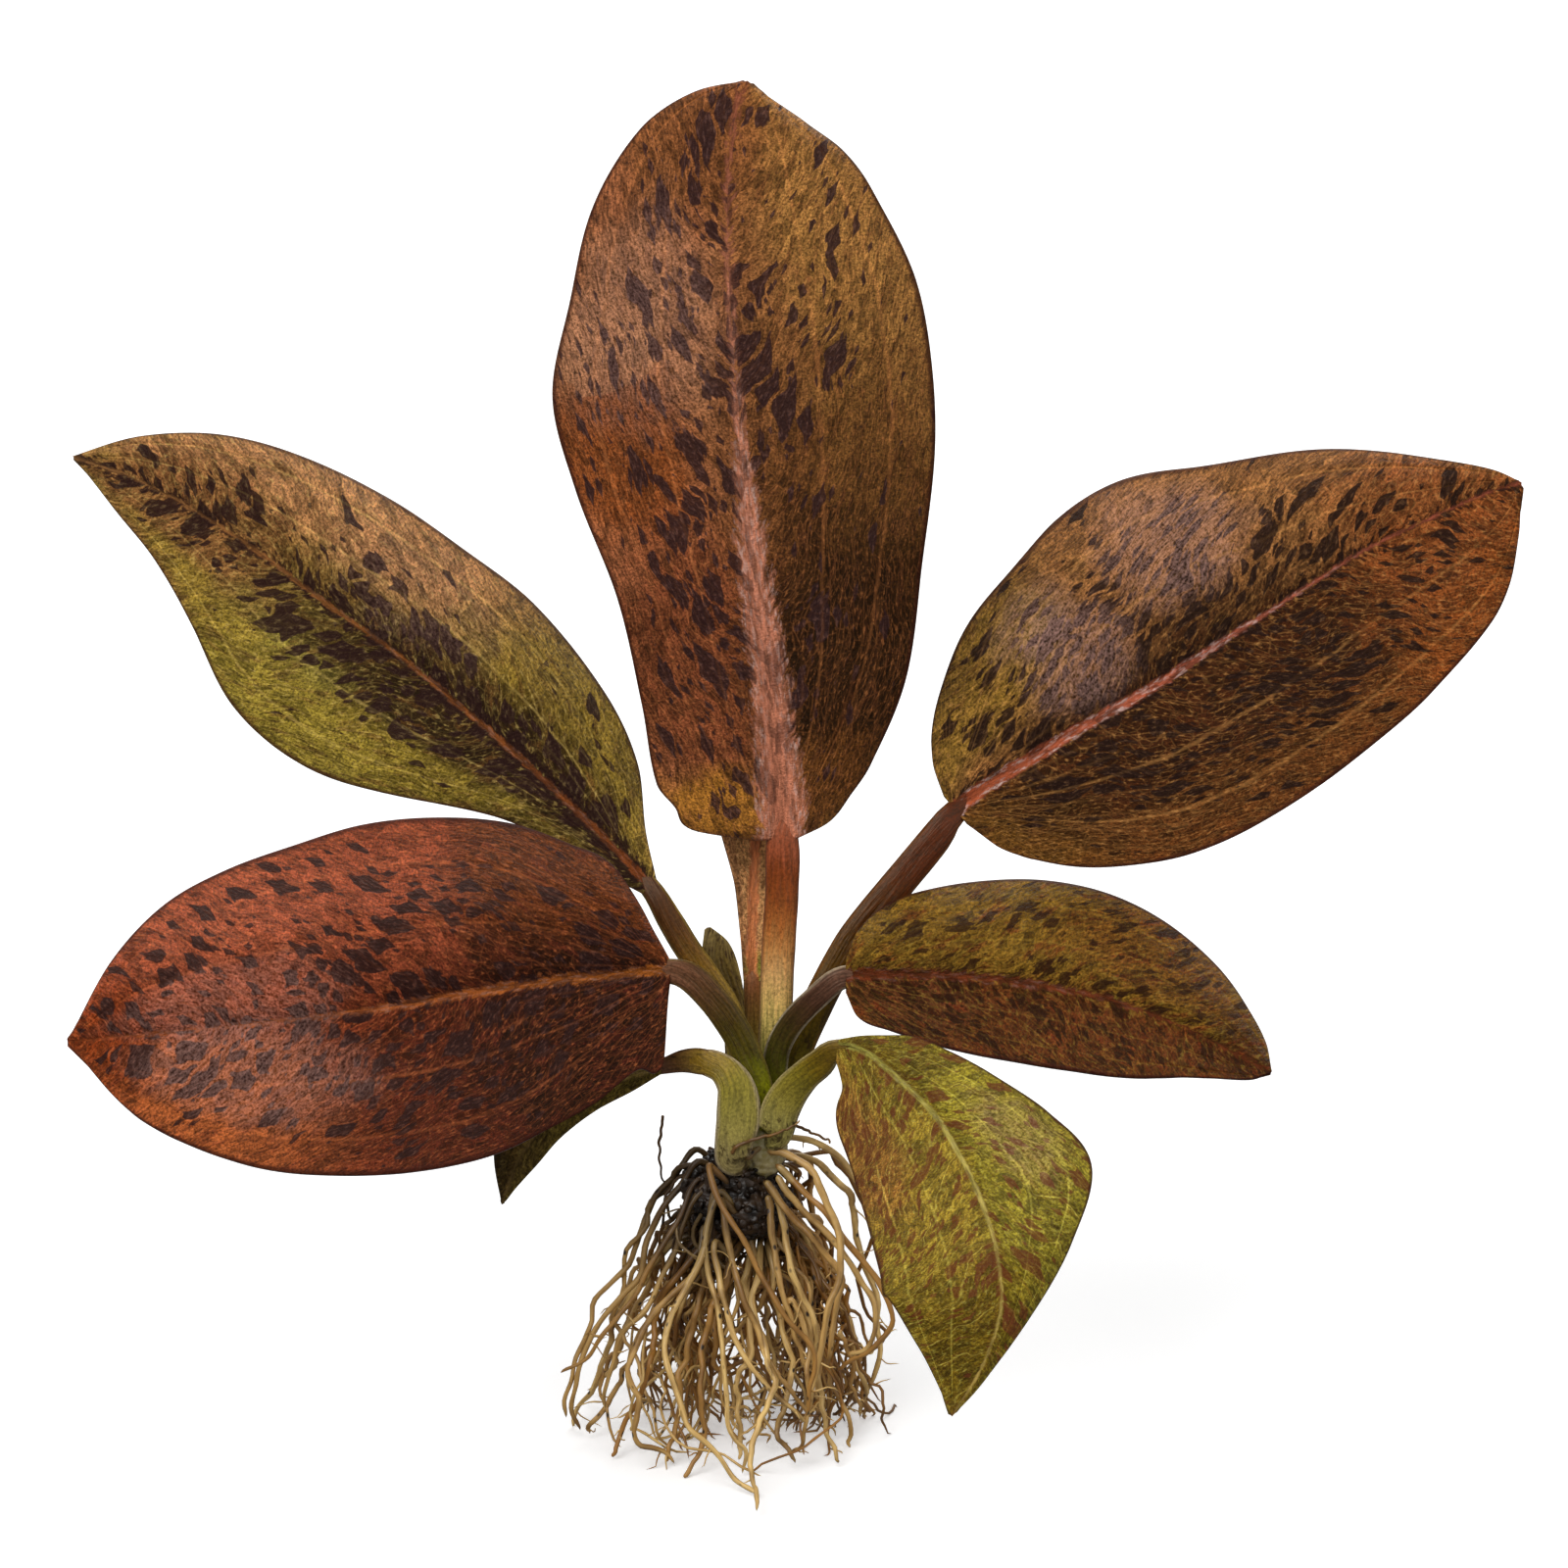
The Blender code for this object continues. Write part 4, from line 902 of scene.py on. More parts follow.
# Across, up, near of the midrib, half-widths left and right of it looking from stalk to tip, and
# how much nearer than the midrib the two margins are
BLADES = {
    "tall_blade": (
        (3.2, 39.5, 1.2, 4.0, 2.0, 0.0, 0.0),
        (3.1, 41.5, 1.6, 12.4, 6.5, 0.5, -0.5),
        (2.9, 45.0, 2.3, 14.6, 9.8, 0.0, -1.0),
        (2.6, 48.5, 3.0, 16.8, 12.7, -1.5, -1.5),
        (1.5, 60.0, 6.0, 17.8, 19.0, -1.0, -3.0),
        (-0.5, 75.0, 9.5, 19.2, 23.2, 1.5, -4.5),
        (-2.2, 90.0, 12.5, 23.3, 26.5, -1.0, -6.0),
        (-3.2, 102.5, 14.5, 25.4, 27.1, -4.0, -6.0),
        (-4.1, 115.0, 16.0, 22.0, 25.8, -5.0, -5.5),
        (-4.4, 126.5, 16.5, 18.5, 21.5, -4.0, -4.5),
        (-3.8, 136.0, 16.0, 12.5, 16.0, -2.5, -3.0),
        (-2.8, 141.0, 15.5, 6.0, 9.5, -1.0, -1.5),
        (-1.6, 144.0, 15.0, 0.0, 0.0, 0.0, 0.0),
    ),
    "upper_left_blade": (
        (-15.0, 33.0, 1.0, 1.5, 1.2, 0.3, -0.3),
        (-18.9, 37.3, 0.0, 3.5, 4.6, 1.0, -1.4),
        (-24.0, 42.3, -1.5, 5.0, 10.5, 1.5, -3.0),
        (-31.0, 49.0, -3.5, 8.5, 14.5, 2.5, -4.5),
        (-42.0, 58.6, -7.0, 16.3, 17.3, 5.0, -5.0),
        (-51.2, 66.0, -10.0, 20.1, 17.1, 6.0, -5.0),
        (-60.8, 72.9, -13.0, 19.2, 16.8, 6.0, -5.0),
        (-70.2, 80.0, -15.5, 13.7, 14.5, 4.0, -4.5),
        (-79.3, 85.7, -17.5, 8.5, 11.0, 2.5, -3.0),
        (-87.2, 89.7, -19.0, 4.8, 5.9, 1.0, -1.5),
        (-94.6, 92.3, -20.0, 0.0, 0.0, 0.0, 0.0),
    ),
    "lower_left_blade": (
        (-12.3, 21.5, 8.6, 2.0, 1.5, 0.5, -0.5),
        (-14.0, 21.6, 9.2, 13.0, 5.0, 5.0, -1.5),
        (-18.1, 21.1, 10.5, 13.3, 14.5, 5.5, -3.5),
        (-24.1, 20.5, 13.0, 17.2, 18.5, 7.5, -6.0),
        (-31.7, 19.6, 16.5, 20.1, 22.5, 9.5, -8.5),
        (-41.0, 18.1, 21.0, 22.5, 24.8, 11.0, -10.5),
        (-51.1, 16.4, 25.5, 22.8, 25.4, 11.5, -11.5),
        (-61.3, 15.1, 30.0, 21.9, 23.8, 11.0, -11.0),
        (-71.5, 14.0, 34.0, 19.6, 21.3, 9.5, -9.5),
        (-80.8, 13.0, 37.0, 15.2, 17.2, 7.0, -7.0),
        (-88.5, 12.3, 39.0, 9.4, 10.3, 4.0, -4.0),
        (-95.3, 11.7, 40.5, 0.0, 0.0, 0.0, 0.0),
    ),
    "upper_right_blade": (
        (27.0, 43.5, 0.2, 2.5, 2.5, -0.5, 0.5),
        (28.2, 44.6, 0.0, 7.0, 8.0, -1.5, 2.0),
        (31.5, 47.0, -0.5, 13.0, 12.5, -3.0, 3.0),
        (38.0, 51.0, -1.5, 19.5, 18.0, -4.5, 4.5),
        (46.2, 56.0, -3.0, 23.5, 22.1, -6.0, 5.5),
        (54.8, 60.9, -5.0, 26.6, 23.6, -6.5, 6.0),
        (63.9, 66.9, -7.5, 26.3, 24.0, -6.5, 6.0),
        (72.9, 72.7, -10.0, 21.8, 23.1, -5.5, 6.0),
        (82.0, 78.6, -12.5, 16.6, 21.6, -4.0, 5.5),
        (90.9, 83.0, -14.5, 11.0, 18.2, -2.5, 4.5),
        (98.2, 86.4, -16.0, 5.5, 13.2, -1.2, 3.0),
        (102.4, 87.9, -16.7, 2.5, 7.0, -0.5, 1.5),
        (105.0, 88.7, -17.0, 0.0, 0.0, 0.0, 0.0),
    ),
    "right_blade": (
        (11.9, 20.9, 7.2, 2.0, 2.5, -0.5, 1.0),
        (13.5, 20.9, 7.6, 6.0, 5.8, -2.0, 3.0),
        (17.6, 20.9, 8.6, 9.7, 7.5, -4.5, 5.0),
        (24.0, 20.9, 10.6, 12.0, 9.4, -8.0, 7.0),
        (31.0, 20.4, 13.0, 13.6, 10.5, -11.0, 8.5),
        (38.0, 19.6, 15.5, 14.4, 10.8, -12.5, 9.0),
        (45.0, 18.2, 18.0, 14.2, 10.5, -12.5, 8.5),
        (52.0, 16.2, 20.5, 12.6, 9.6, -11.0, 7.5),
        (58.5, 13.7, 22.5, 9.8, 7.5, -8.5, 5.5),
        (64.5, 10.5, 24.0, 6.3, 4.3, -5.0, 3.0),
        (68.5, 8.5, 25.0, 3.2, 2.0, -2.5, 1.5),
        (70.6, 7.6, 25.5, 0.0, 0.0, 0.0, 0.0),
    ),
    "drooping_blade": (
        (10.8, 11.2, 13.8, 0.8, 2.2, 0.0, 0.0),
        (12.6, 11.0, 15.0, 1.4, 5.0, -0.5, 0.5),
        (15.3, 9.8, 18.0, 3.3, 8.6, -1.5, 1.0),
        (17.6, 7.9, 21.0, 5.9, 10.6, -2.0, 1.0),
        (20.7, 5.1, 26.0, 7.5, 12.6, -2.5, 1.5),
        (24.4, 1.2, 32.0, 9.8, 14.2, -3.5, 1.5),
        (27.8, -4.4, 38.0, 13.6, 15.3, -5.0, 1.5),
        (30.8, -10.9, 44.0, 16.0, 16.2, -5.5, 1.5),
        (32.8, -17.8, 49.0, 10.5, 16.4, -4.0, 1.0),
        (33.3, -25.0, 52.0, 4.6, 16.1, -2.0, 0.5),
        (31.5, -31.2, 53.5, 2.0, 13.0, -1.0, 0.0),
        (29.1, -36.0, 54.0, 0.9, 7.0, -0.5, 0.0),
        (26.5, -40.0, 54.0, 0.0, 0.0, 0.0, 0.0),
    ),
    "old_small_blade": (
        (-13.7, 8.2, 3.5, 1.0, 1.0, 0.0, 0.0),
        (-18.0, 7.0, 4.0, 2.2, 4.0, -0.5, -0.5),
        (-24.0, 4.5, 4.5, 2.8, 6.5, -1.0, -1.5),
        (-29.5, 0.5, 5.0, 3.0, 6.5, -1.0, -1.5),
        (-33.0, -4.5, 5.0, 2.4, 4.0, -0.5, -1.0),
        (-35.5, -10.8, 4.5, 0.0, 0.0, 0.0, 0.0),
    ),
    "young_back_blade": (
        (-1.0, 20.0, -5.2, 1.2, 1.2, 0.0, 0.0),
        (-1.0, 27.0, -5.6, 1.7, 1.7, 0.3, 0.3),
        (-0.8, 33.0, -6.1, 2.6, 2.6, 0.5, 0.5),
        (-0.5, 40.0, -7.0, 4.8, 4.8, 1.0, 1.0),
        (0.0, 50.0, -8.5, 8.0, 8.0, 1.5, 1.5),
        (1.0, 62.0, -10.0, 10.5, 10.5, 2.0, 2.0),
        (2.5, 75.0, -11.0, 11.0, 11.0, 2.0, 2.0),
        (4.0, 87.0, -11.5, 8.5, 8.5, 1.5, 1.5),
        (5.5, 96.0, -11.5, 4.0, 4.0, 0.5, 0.5),
        (6.5, 102.0, -11.5, 0.0, 0.0, 0.0, 0.0),
    ),
}

# What most blades have in common
BLADE_BASICS = dict(blend=0.1, glint=0.1, glint_reach=1.0, crease_shading=0.0, threads=0.5, mottled=0.5,
                    bare_margin=0.2, crowds=(), painted_sheen_ovals=(), lit_folds=())

# Looks of each blade, with what differs from BLADE_BASICS.
# slant: degrees at which the fine veins climb away from the midrib.
# left, right: colour of each half; blend: how softly the two meet; under: colour of the underside.
# midrib: colours from base to tip. rib: width in mm at the base and where it is widest, share of the
# length by which it is thin, and that width. feather: how far in mm the fine veins fray its sides.
# flank: strength and reach in mm of the dark flanks. glint, glint_reach: strength and reach in mm of
# the painted highlight flecks beside the midrib. wrinkles: strength of the painted shade in the fine
# creases across it.
# veins: colour of all veins. threads, side_veins, long_veins: how strongly each kind shows.
# net: width and length in mm of the cells that the finest veins close, and how strongly those show.
# spots, spot_streaks_and_sheen: colours of the spots and of the pale streaks in them, partly their own colour
# and
# partly painted sheen. spots_of: width and length in mm, share of the places that are filled, and depth
# of colour. bare_margin: how much the spots keep away from the margin.
# mottle, mottled: colour and strength of the dark streaks.
# crowds (of spots), bloom (painted sheen), folds and patches (of colour) are ovals: share of the
# half-width, left of the midrib above 0, share of the length, their reaches, then colour, if they have
# one, and strength. The folds are painted light: patches with a sharp edge that fade towards the tip.
BLADE_LOOKS = {
    "tall_blade": dict(
        slot="leaf_brown", slant=22,
        left="#9a5c3a", right="#946632", blend=0.3, midrib=("#c47a5c", "#d08668", "#945038"),
        rib=(7.0, 4.8, 0.68, 0.6), feather=0.9, flank=(0.25, 1.2), glint=0.7, glint_reach=2.6, crease_shading=0.1,
        veins="#b87240", threads=0.6, net=(1.1, 2.4, 0.4), side_veins=0.5, long_veins=0.8,
        spots="#2e191c", spot_streaks_and_sheen="#5e4a50", mottle="#4a2716", under="#6a452e",
        bare_margin=0.25,
        spots_of=((2.9, 8.2, 0.5, 0.94), (1.5, 3.8, 0.36, 0.9)),
        crowds=((0.4, 0.58, 0.5, 0.36, 0.36), (0.35, 0.25, 0.5, 0.3, 0.25), (-0.3, 0.65, 0.35, 0.1, 0.3),
                (0.1, 0.9, 0.4, 0.1, 0.3), (-0.2, 0.35, 0.3, 0.25, 0.15), (-0.6, 0.5, 0.5, 0.3, -0.12)),
        painted_sheen_ovals=((0.55, 0.69, 0.5, 0.15, 0.2),),
        lit_folds=((0.75, 0.7, 0.3, 0.08, "#a87450", 0.6),),
        patches=(
            # the first patch is a painted sheen on the upper left half
            (0.55, 0.66, 0.6, 0.2, "#9e6a46", 0.8),
            (0.7, 0.52, 0.5, 0.12, "#7e3e16", 0.9),
            (0.3, 0.92, 0.9, 0.12, "#764623", 0.85),
            (-0.6, 0.7, 0.5, 0.3, "#a07038", 0.8),
            (-0.15, 0.55, 0.3, 0.3, "#7c4a2c", 0.6),
            (0.45, 0.25, 0.7, 0.2, "#783c22", 0.85),
            (-0.55, 0.28, 0.75, 0.4, "#4c2a0e", 0.75),
            (-0.55, 0.2, 0.7, 0.24, "#220f04", 0.95),
            (-0.5, 0.07, 0.6, 0.07, "#5c3614", 0.8),
            (0.6, 0.045, 0.6, 0.06, "#94621e", 0.9),
        )),
    "upper_left_blade": dict(
        slot="leaf_olive", slant=30,
        left="#7c6e2c", right="#84662e", midrib=("#7c3e1c", "#7c481f", "#8a6038"),
        rib=(1.2, 0.9, 1.0, 0.4), feather=0.2, flank=(0.85, 1.4), glint_reach=1.2, crease_shading=0.1,
        veins="#c0a45c", net=(1.1, 2.2, 0.3), side_veins=0.4, long_veins=0.9,
        spots="#241012", spot_streaks_and_sheen="#4c3436", mottle="#5c3c1c", mottled=0.6, under="#6c5a30",
        bare_margin=0.6,
        spots_of=((2.9, 7.0, 0.42, 0.96), (1.5, 3.8, 0.34, 0.92)),
        crowds=((0.0, 0.32, 0.5, 0.25, 0.25), (0.0, 0.5, 0.5, 0.5, 0.44), (0.0, 0.85, 0.9, 0.16, 0.34)),
        painted_sheen_ovals=((-0.5, 0.5, 0.4, 0.15, 0.12),),
        patches=(
            (-0.75, 0.65, 0.45, 0.4, "#ac764a", 0.9),
            (-0.55, 0.22, 0.6, 0.22, "#806822", 0.85),
            (0.45, 0.15, 1.0, 0.3, "#261607", 0.95),
            (0.0, 0.52, 0.35, 0.22, "#5c3e1c", 0.6),
            (0.1, 0.34, 0.5, 0.28, "#261609", 0.9),
            (0.3, 0.86, 1.1, 0.2, "#80502e", 0.85),
            (0.75, 0.55, 0.3, 0.4, "#8c7626", 0.7),
        )),
    "lower_left_blade": dict(
        slot="leaf_red", slant=32,
        left="#7c361c", right="#8e4228", midrib=("#98541c", "#a05428", "#8a4220"),
        rib=(1.4, 1.4, 0.8, 0.4), feather=0.4, flank=(0.4, 1.0), glint=0.15, glint_reach=1.6, crease_shading=0.2,
        veins="#b8683a", net=(1.1, 2.0, 0.3), side_veins=0.45, long_veins=0.6,
        spots="#261214", spot_streaks_and_sheen="#5a4444", mottle="#551f16", under="#653628",
        bare_margin=0.3,
        spots_of=((3.4, 6.0, 0.6, 0.95), (1.6, 3.2, 0.34, 0.9)),
        crowds=((0.0, 0.5, 0.8, 0.45, 0.22), (0.0, 0.8, 0.9, 0.2, 0.1), (0.45, 0.35, 0.5, 0.25, 0.2)),
        painted_sheen_ovals=((0.35, 0.72, 0.4, 0.2, 0.3), (-0.15, 0.75, 0.3, 0.2, 0.25)),
        patches=(
            (0.55, 0.78, 0.6, 0.25, "#a4562a", 0.85),
            (-0.6, 0.14, 0.8, 0.22, "#50260c", 0.92),
            (0.55, 0.25, 0.95, 0.42, "#3c140c", 0.8),
            (0.45, 0.14, 0.8, 0.26, "#1e0a08", 0.9),
            (-0.5, 0.75, 0.6, 0.2, "#9c4c30", 0.7),
            (0.0, 0.96, 1.0, 0.1, "#742c0c", 0.85),
        )),
    "upper_right_blade": dict(
        slot="leaf_brown", slant=28,
        left="#8a5a30", right="#824218", midrib=("#a45030", "#b05c44", "#8a4430"),
        rib=(2.2, 1.5, 0.7, 0.45), feather=0.2, flank=(0.8, 1.0), glint=0.9, glint_reach=0.9, crease_shading=0.2,
        veins="#c08a4c", net=(1.1, 2.2, 0.35), side_veins=0.5, long_veins=0.8,
        spots="#1a0a0a", spot_streaks_and_sheen="#443030", mottle="#3a1b0c", mottled=0.6, under="#664228",
        bare_margin=0.35,
        spots_of=((2.3, 7.0, 0.5, 0.96), (1.3, 3.6, 0.42, 0.93)),
        crowds=((0.0, 0.5, 0.8, 0.45, 0.22), (0.45, 0.33, 0.45, 0.3, 0.34), (-0.35, 0.45, 0.4, 0.4, 0.15)),
        painted_sheen_ovals=((0.62, 0.5, 0.35, 0.12, 0.4), (0.35, 0.28, 0.3, 0.1, 0.4), (0.7, 0.25, 0.2, 0.08, 0.3)),
        patches=(
            (0.7, 0.12, 0.5, 0.2, "#75581e", 0.9),
            (-0.6, 0.08, 0.6, 0.14, "#583c12", 0.88),
            (-0.3, 0.4, 0.66, 0.42, "#2a1106", 0.92),
            (-0.8, 0.4, 0.25, 0.35, "#5e3616", 0.7),
            (0.2, 0.9, 0.9, 0.2, "#7c401c", 0.8),
        )),
    "right_blade": dict(
        slot="leaf_brown", slant=30,
        left="#6c4e16", right="#542a10", midrib=("#662c14", "#6a3018", "#5c2a14"),
        rib=(1.7, 1.3, 0.9, 0.5), feather=0.35, flank=(0.4, 0.8), crease_shading=0.3,
        veins="#8e7830", threads=0.45, net=(1.0, 2.0, 0.3), side_veins=0.35, long_veins=0.5,
        spots="#240e06", spot_streaks_and_sheen="#44220f", mottle="#5c240e", mottled=0.7, under="#50341f",
        spots_of=((1.7, 4.6, 0.5, 0.9), (1.0, 2.8, 0.5, 0.88)),
        crowds=((-0.4, 0.4, 0.6, 0.5, 0.3),),
        patches=(
            (0.6, 0.7, 0.5, 0.25, "#603810", 0.8),
            (0.0, 0.95, 1.0, 0.1, "#3c1a0a", 0.9),
            (-0.5, 0.15, 0.6, 0.15, "#4a2614", 0.8),
        )),
    "drooping_blade": dict(
        slot="leaf_olive", slant=34,
        left="#867822", right="#8c7424", midrib=("#a09844", "#b0a050", "#a08444"),
        rib=(0.9, 0.8, 1.0, 0.4), feather=0.1, flank=(0.2, 0.8),
        veins="#b8b052", threads=0.15, net=(1.1, 2.2, 0.15), side_veins=1.0, long_veins=0.9,
        spots="#66301a", spot_streaks_and_sheen="#7c4a24", mottle="#6a4c16", under="#7a6838",
        bare_margin=0.1,
        spots_of=((1.9, 5.6, 0.56, 0.8), (1.1, 3.2, 0.5, 0.78)),
        crowds=((-0.6, 0.4, 0.5, 0.4, 0.25),),
        painted_sheen_ovals=((0.6, 0.45, 0.35, 0.12, 0.2),),
        patches=(
            (-0.8, 0.25, 0.4, 0.3, "#92602a", 0.85),
            (0.3, 0.12, 0.8, 0.14, "#5c4a12", 0.8),
            (0.0, 0.88, 1.0, 0.2, "#5c480a", 0.85),
        )),
    "old_small_blade": dict(
        slot="leaf_olive", slant=30,
        left="#5a4c1c", right="#4c3614", midrib=("#86703a", "#80683a", "#6a5430"),
        rib=(1.0, 0.9, 0.9, 0.4), feather=0.2, flank=(0.2, 0.8),
        veins="#887440", threads=0.4, net=(1.0, 2.0, 0.25), side_veins=0.3, long_veins=0.6,
        spots="#2c1c12", spot_streaks_and_sheen="#4a3a2a", mottle="#2c1c0c", mottled=0.6, under="#5e4c34",
        spots_of=((1.8, 3.6, 0.3, 0.8),),
        patches=((0.0, 0.8, 1.0, 0.3, "#453618", 0.7),)),
    "young_back_blade": dict(
        slot="leaf_brown", slant=18,
        left="#c8925c", right="#c08c58", midrib=("#de8a54", "#d87c50", "#944630"),
        rib=(1.7, 1.5, 0.9, 0.5), feather=0.2, flank=(0.3, 0.6),
        veins="#e0b47c", net=(1.0, 2.4, 0.2), side_veins=0.5, long_veins=0.8,
        spots="#7a4426", spot_streaks_and_sheen="#8a5a38", mottle="#8c5630", under="#80603c",
        spots_of=((1.8, 5.0, 0.15, 0.7),),
        patches=((0.0, 0.0, 1.5, 0.05, "#9aa038", 0.9), (0.9, 0.3, 0.35, 0.6, "#8a5838", 0.7))),
}


def blade_skin(name, look, top):
    """Leathery blade skin, glossy on top and dull below, coloured and marked as its look says.

    The real skin's cells are under 0.1 mm. Fibres and grain are drawn at about 0.4 mm, so that they show.
    """
    side = "top" if top else "underside"
    material, tree, shader = new_material(f"leathery_leaf_{side}_{name}")
    share = add(tree, "UVMap", {}, uv_map="skin_share")
    skin = add(tree, "UVMap", {}, uv_map="skin_mm")
    across = add(tree, "SeparateXYZ", {"Vector": share}).node.outputs["X"]
    along = add(tree, "SeparateXYZ", {"Vector": share}).node.outputs["Y"]
    across_mm = add(tree, "SeparateXYZ", {"Vector": skin}).node.outputs["X"]
    along_mm = add(tree, "SeparateXYZ", {"Vector": skin}).node.outputs["Y"]
    reach = add(tree, "Math", (across,), operation="ABSOLUTE")
    reach_mm = add(tree, "Math", (across_mm,), operation="ABSOLUTE")
    cloud = add(tree, "TexNoise", {"Vector": skin, "Scale": 0.16, "Detail": 4})

    # fine veins climb in arcs from the midrib: cross is over them, climb along them, in mm
    drift = add(tree, "TexNoise", {"Vector": skin, "Scale": 0.06, "Detail": 1})
    drift = add(tree, "MapRange", (drift, 0, 1, -4.0, 4.0))
    slant = math.radians(look["slant"])
    arc = add(tree, "Math", (reach_mm, 0.02, 0.8), operation="MULTIPLY_ADD")
    arc = add(tree, "Math", (reach_mm, arc), operation="MULTIPLY")
    cross = add(tree, "Math", (arc, math.cos(slant), drift), operation="MULTIPLY_ADD")
    cross = add(tree, "Math", (along_mm, -math.sin(slant), cross), operation="MULTIPLY_ADD")
    climb = add(tree, "Math", (reach_mm, math.sin(slant)), operation="MULTIPLY")
    climb = add(tree, "Math", (along_mm, math.cos(slant), climb), operation="MULTIPLY_ADD")
    # the two halves read the patterns at different depths, so that they aren't mirrored
    half = add(tree, "Math", (across_mm,), operation="SIGN")
    half = add(tree, "Math", (half, 40), operation="MULTIPLY")
    climbing = add(tree, "CombineXYZ", {"X": cross, "Y": climb, "Z": half})

    def patch(q, s, q_reach, s_reach, strength, blur=0.7):
        """Share of a ragged oval patch, up to its strength in the middle."""
        local = add(tree, "Mapping", {"Vector": share, "Location": (-q / q_reach, -s / s_reach, 0),
                                      "Scale": (1 / q_reach, 1 / s_reach, 0)})
        far = add(tree, "VectorMath", (local,), operation="LENGTH")
        far = add(tree, "Math", (cloud, 0.9, far), operation="MULTIPLY_ADD")
        return add(tree, "MapRange", (far, 1.7 - blur, 1.7, strength, 0), interpolation_type="SMOOTHSTEP")

    # shades of the two halves and of single regions, then patches of painted light with a sharp lower edge
    halves = add(tree, "Math", (cloud, 0.5, across), operation="MULTIPLY_ADD")
    base = stained(tree, linear(look["right"]), look["left"], halves,
                   0.25 - look["blend"], 0.25 + look["blend"])
    for *oval, colour, strength in look["patches"]:
        base = add(tree, "Mix", {"Factor": patch(*oval, strength), "A": base, "B": linear(colour)},
                   data_type="RGBA")
    for q, s, q_reach, s_reach, colour, strength in look["lit_folds"]:
        lit_fold_share = patch(q, s, q_reach, s_reach, strength, 0.05)
        upward = add(tree, "MapRange", (along, s - s_reach * 0.4, s + s_reach, 1, 0))
        lit_fold_share = add(tree, "Math", (lit_fold_share, upward), operation="MULTIPLY")
        base = add(tree, "Mix", {"Factor": lit_fold_share, "A": base, "B": linear(colour)}, data_type="RGBA")

    # dark streaks, then fine fibres along the fine veins, grain, and the small cells that the finest
    # veins close, each cell a little brighter or darker than the next
    mottle = stretched_noise(tree, climbing, (0.8, 0.2), 6, Roughness=0.68)
    base = stained(tree, base, look["mottle"], mottle, 0.52, 0.6, high=look["mottled"])
    fibre = stretched_noise(tree, climbing, (2.4, 0.85), 3, Roughness=0.6)
    grain = add(tree, "TexNoise", {"Vector": skin, "Scale": 2.8, "Detail": 3, "Roughness": 0.7})
    net_width, net_length, netted = look["net"]
    net_place = add(tree, "Mapping", {"Vector": climbing, "Scale": (1 / net_width, 1 / net_length, 1)})
    small_cells = add(tree, "TexVoronoi", {"Vector": net_place, "Scale": 1.0})
    cell = add(tree, "SeparateXYZ", {"Vector": small_cells.node.outputs["Color"]})
    base = dappled(tree, base, (fibre, 0.38, 0.62, 0.62, 1.44), (grain, 0.38, 0.62, 0.54, 1.52),
                   (cell, 0, 1, 0.56, 1.42))

    # spots: long cells between the fine veins, only some of them filled; large ones, then flecks
    crowd = add(tree, "TexNoise", {"Vector": skin, "Scale": 0.12, "Detail": 1})
    crowd = add(tree, "MapRange", (crowd, 0.3, 0.7, -0.2, 0.2))
    outer = add(tree, "Math", (reach, 3.0), operation="POWER")
    crowd = add(tree, "Math", (outer, -look["bare_margin"], crowd), operation="MULTIPLY_ADD")
    for gathering in look["crowds"]:
        crowd = add(tree, "Math", (crowd, patch(*gathering)), operation="ADD")
    bent = add(tree, "TexNoise", {"Vector": skin, "Scale": 0.35, "Detail": 1}).node.outputs["Color"]
    bent = add(tree, "VectorMath", (bent, (1.4, 2.4, 0), climbing), operation="MULTIPLY_ADD")
    jagged = add(tree, "MapRange", (fibre, 0.3, 0.7, -0.04, 0.04))
    spot = None
    for width, length, amount, deep in look["spots_of"]:
        cells_at = add(tree, "Mapping", {"Vector": bent, "Location": (length, width, 0),
                                         "Scale": (1 / width, 1 / length, 1)})
        cells, second = (
            add(tree, "TexVoronoi", {"Vector": cells_at, "Scale": 1.0, "Randomness": 0.9},
                distance="MANHATTAN", feature=feature) for feature in ("F1", "F2"))
        chosen = add(tree, "SeparateXYZ", {"Vector": cells.node.outputs["Color"]})
        chosen = add(tree, "Math", (chosen, crowd), operation="ADD")
        chosen = add(tree, "Math", (chosen, 1 - amount), operation="SUBTRACT")
        size = add(tree, "MapRange", (chosen, 0, 0.4, 0.34, 0.72))
        body = add(tree, "Math", (size, cells), operation="SUBTRACT")
        inner = add(tree, "Math", (second, cells), operation="SUBTRACT")
        inner = add(tree, "Math", (inner, 0.16), operation="SUBTRACT")
        body = add(tree, "Math", (body, inner), operation="MINIMUM")
        body = add(tree, "Math", (body, jagged), operation="ADD")
        one = add(tree, "MapRange", (body, 0.0, 0.05, 0, deep))
        kept = add(tree, "Math", (chosen, 0.0), operation="GREATER_THAN")
        one = add(tree, "Math", (one, kept), operation="MULTIPLY")
        spot = add(tree, "Math", (spot, one), operation="MAXIMUM") if spot else one
    if not top:
        spot = add(tree, "Math", (spot, 0.4), operation="MULTIPLY")
    # the pale streaks in the spots are partly their own colour, partly painted sheen
    spot_colour = stained(tree, linear(look["spots"]), look["spot_streaks_and_sheen"], fibre, 0.5, 0.66, high=0.4)
    base = add(tree, "Mix", {"Factor": spot, "A": base, "B": spot_colour}, data_type="RGBA")

    # fibres, veins and midrib show less where they cross a spot
    less_fibre, less_vein, less_rib = (
        add(tree, "MapRange", (spot, 0, 1, 1.0, part)) for part in (0.25, 0.2, 0.5))

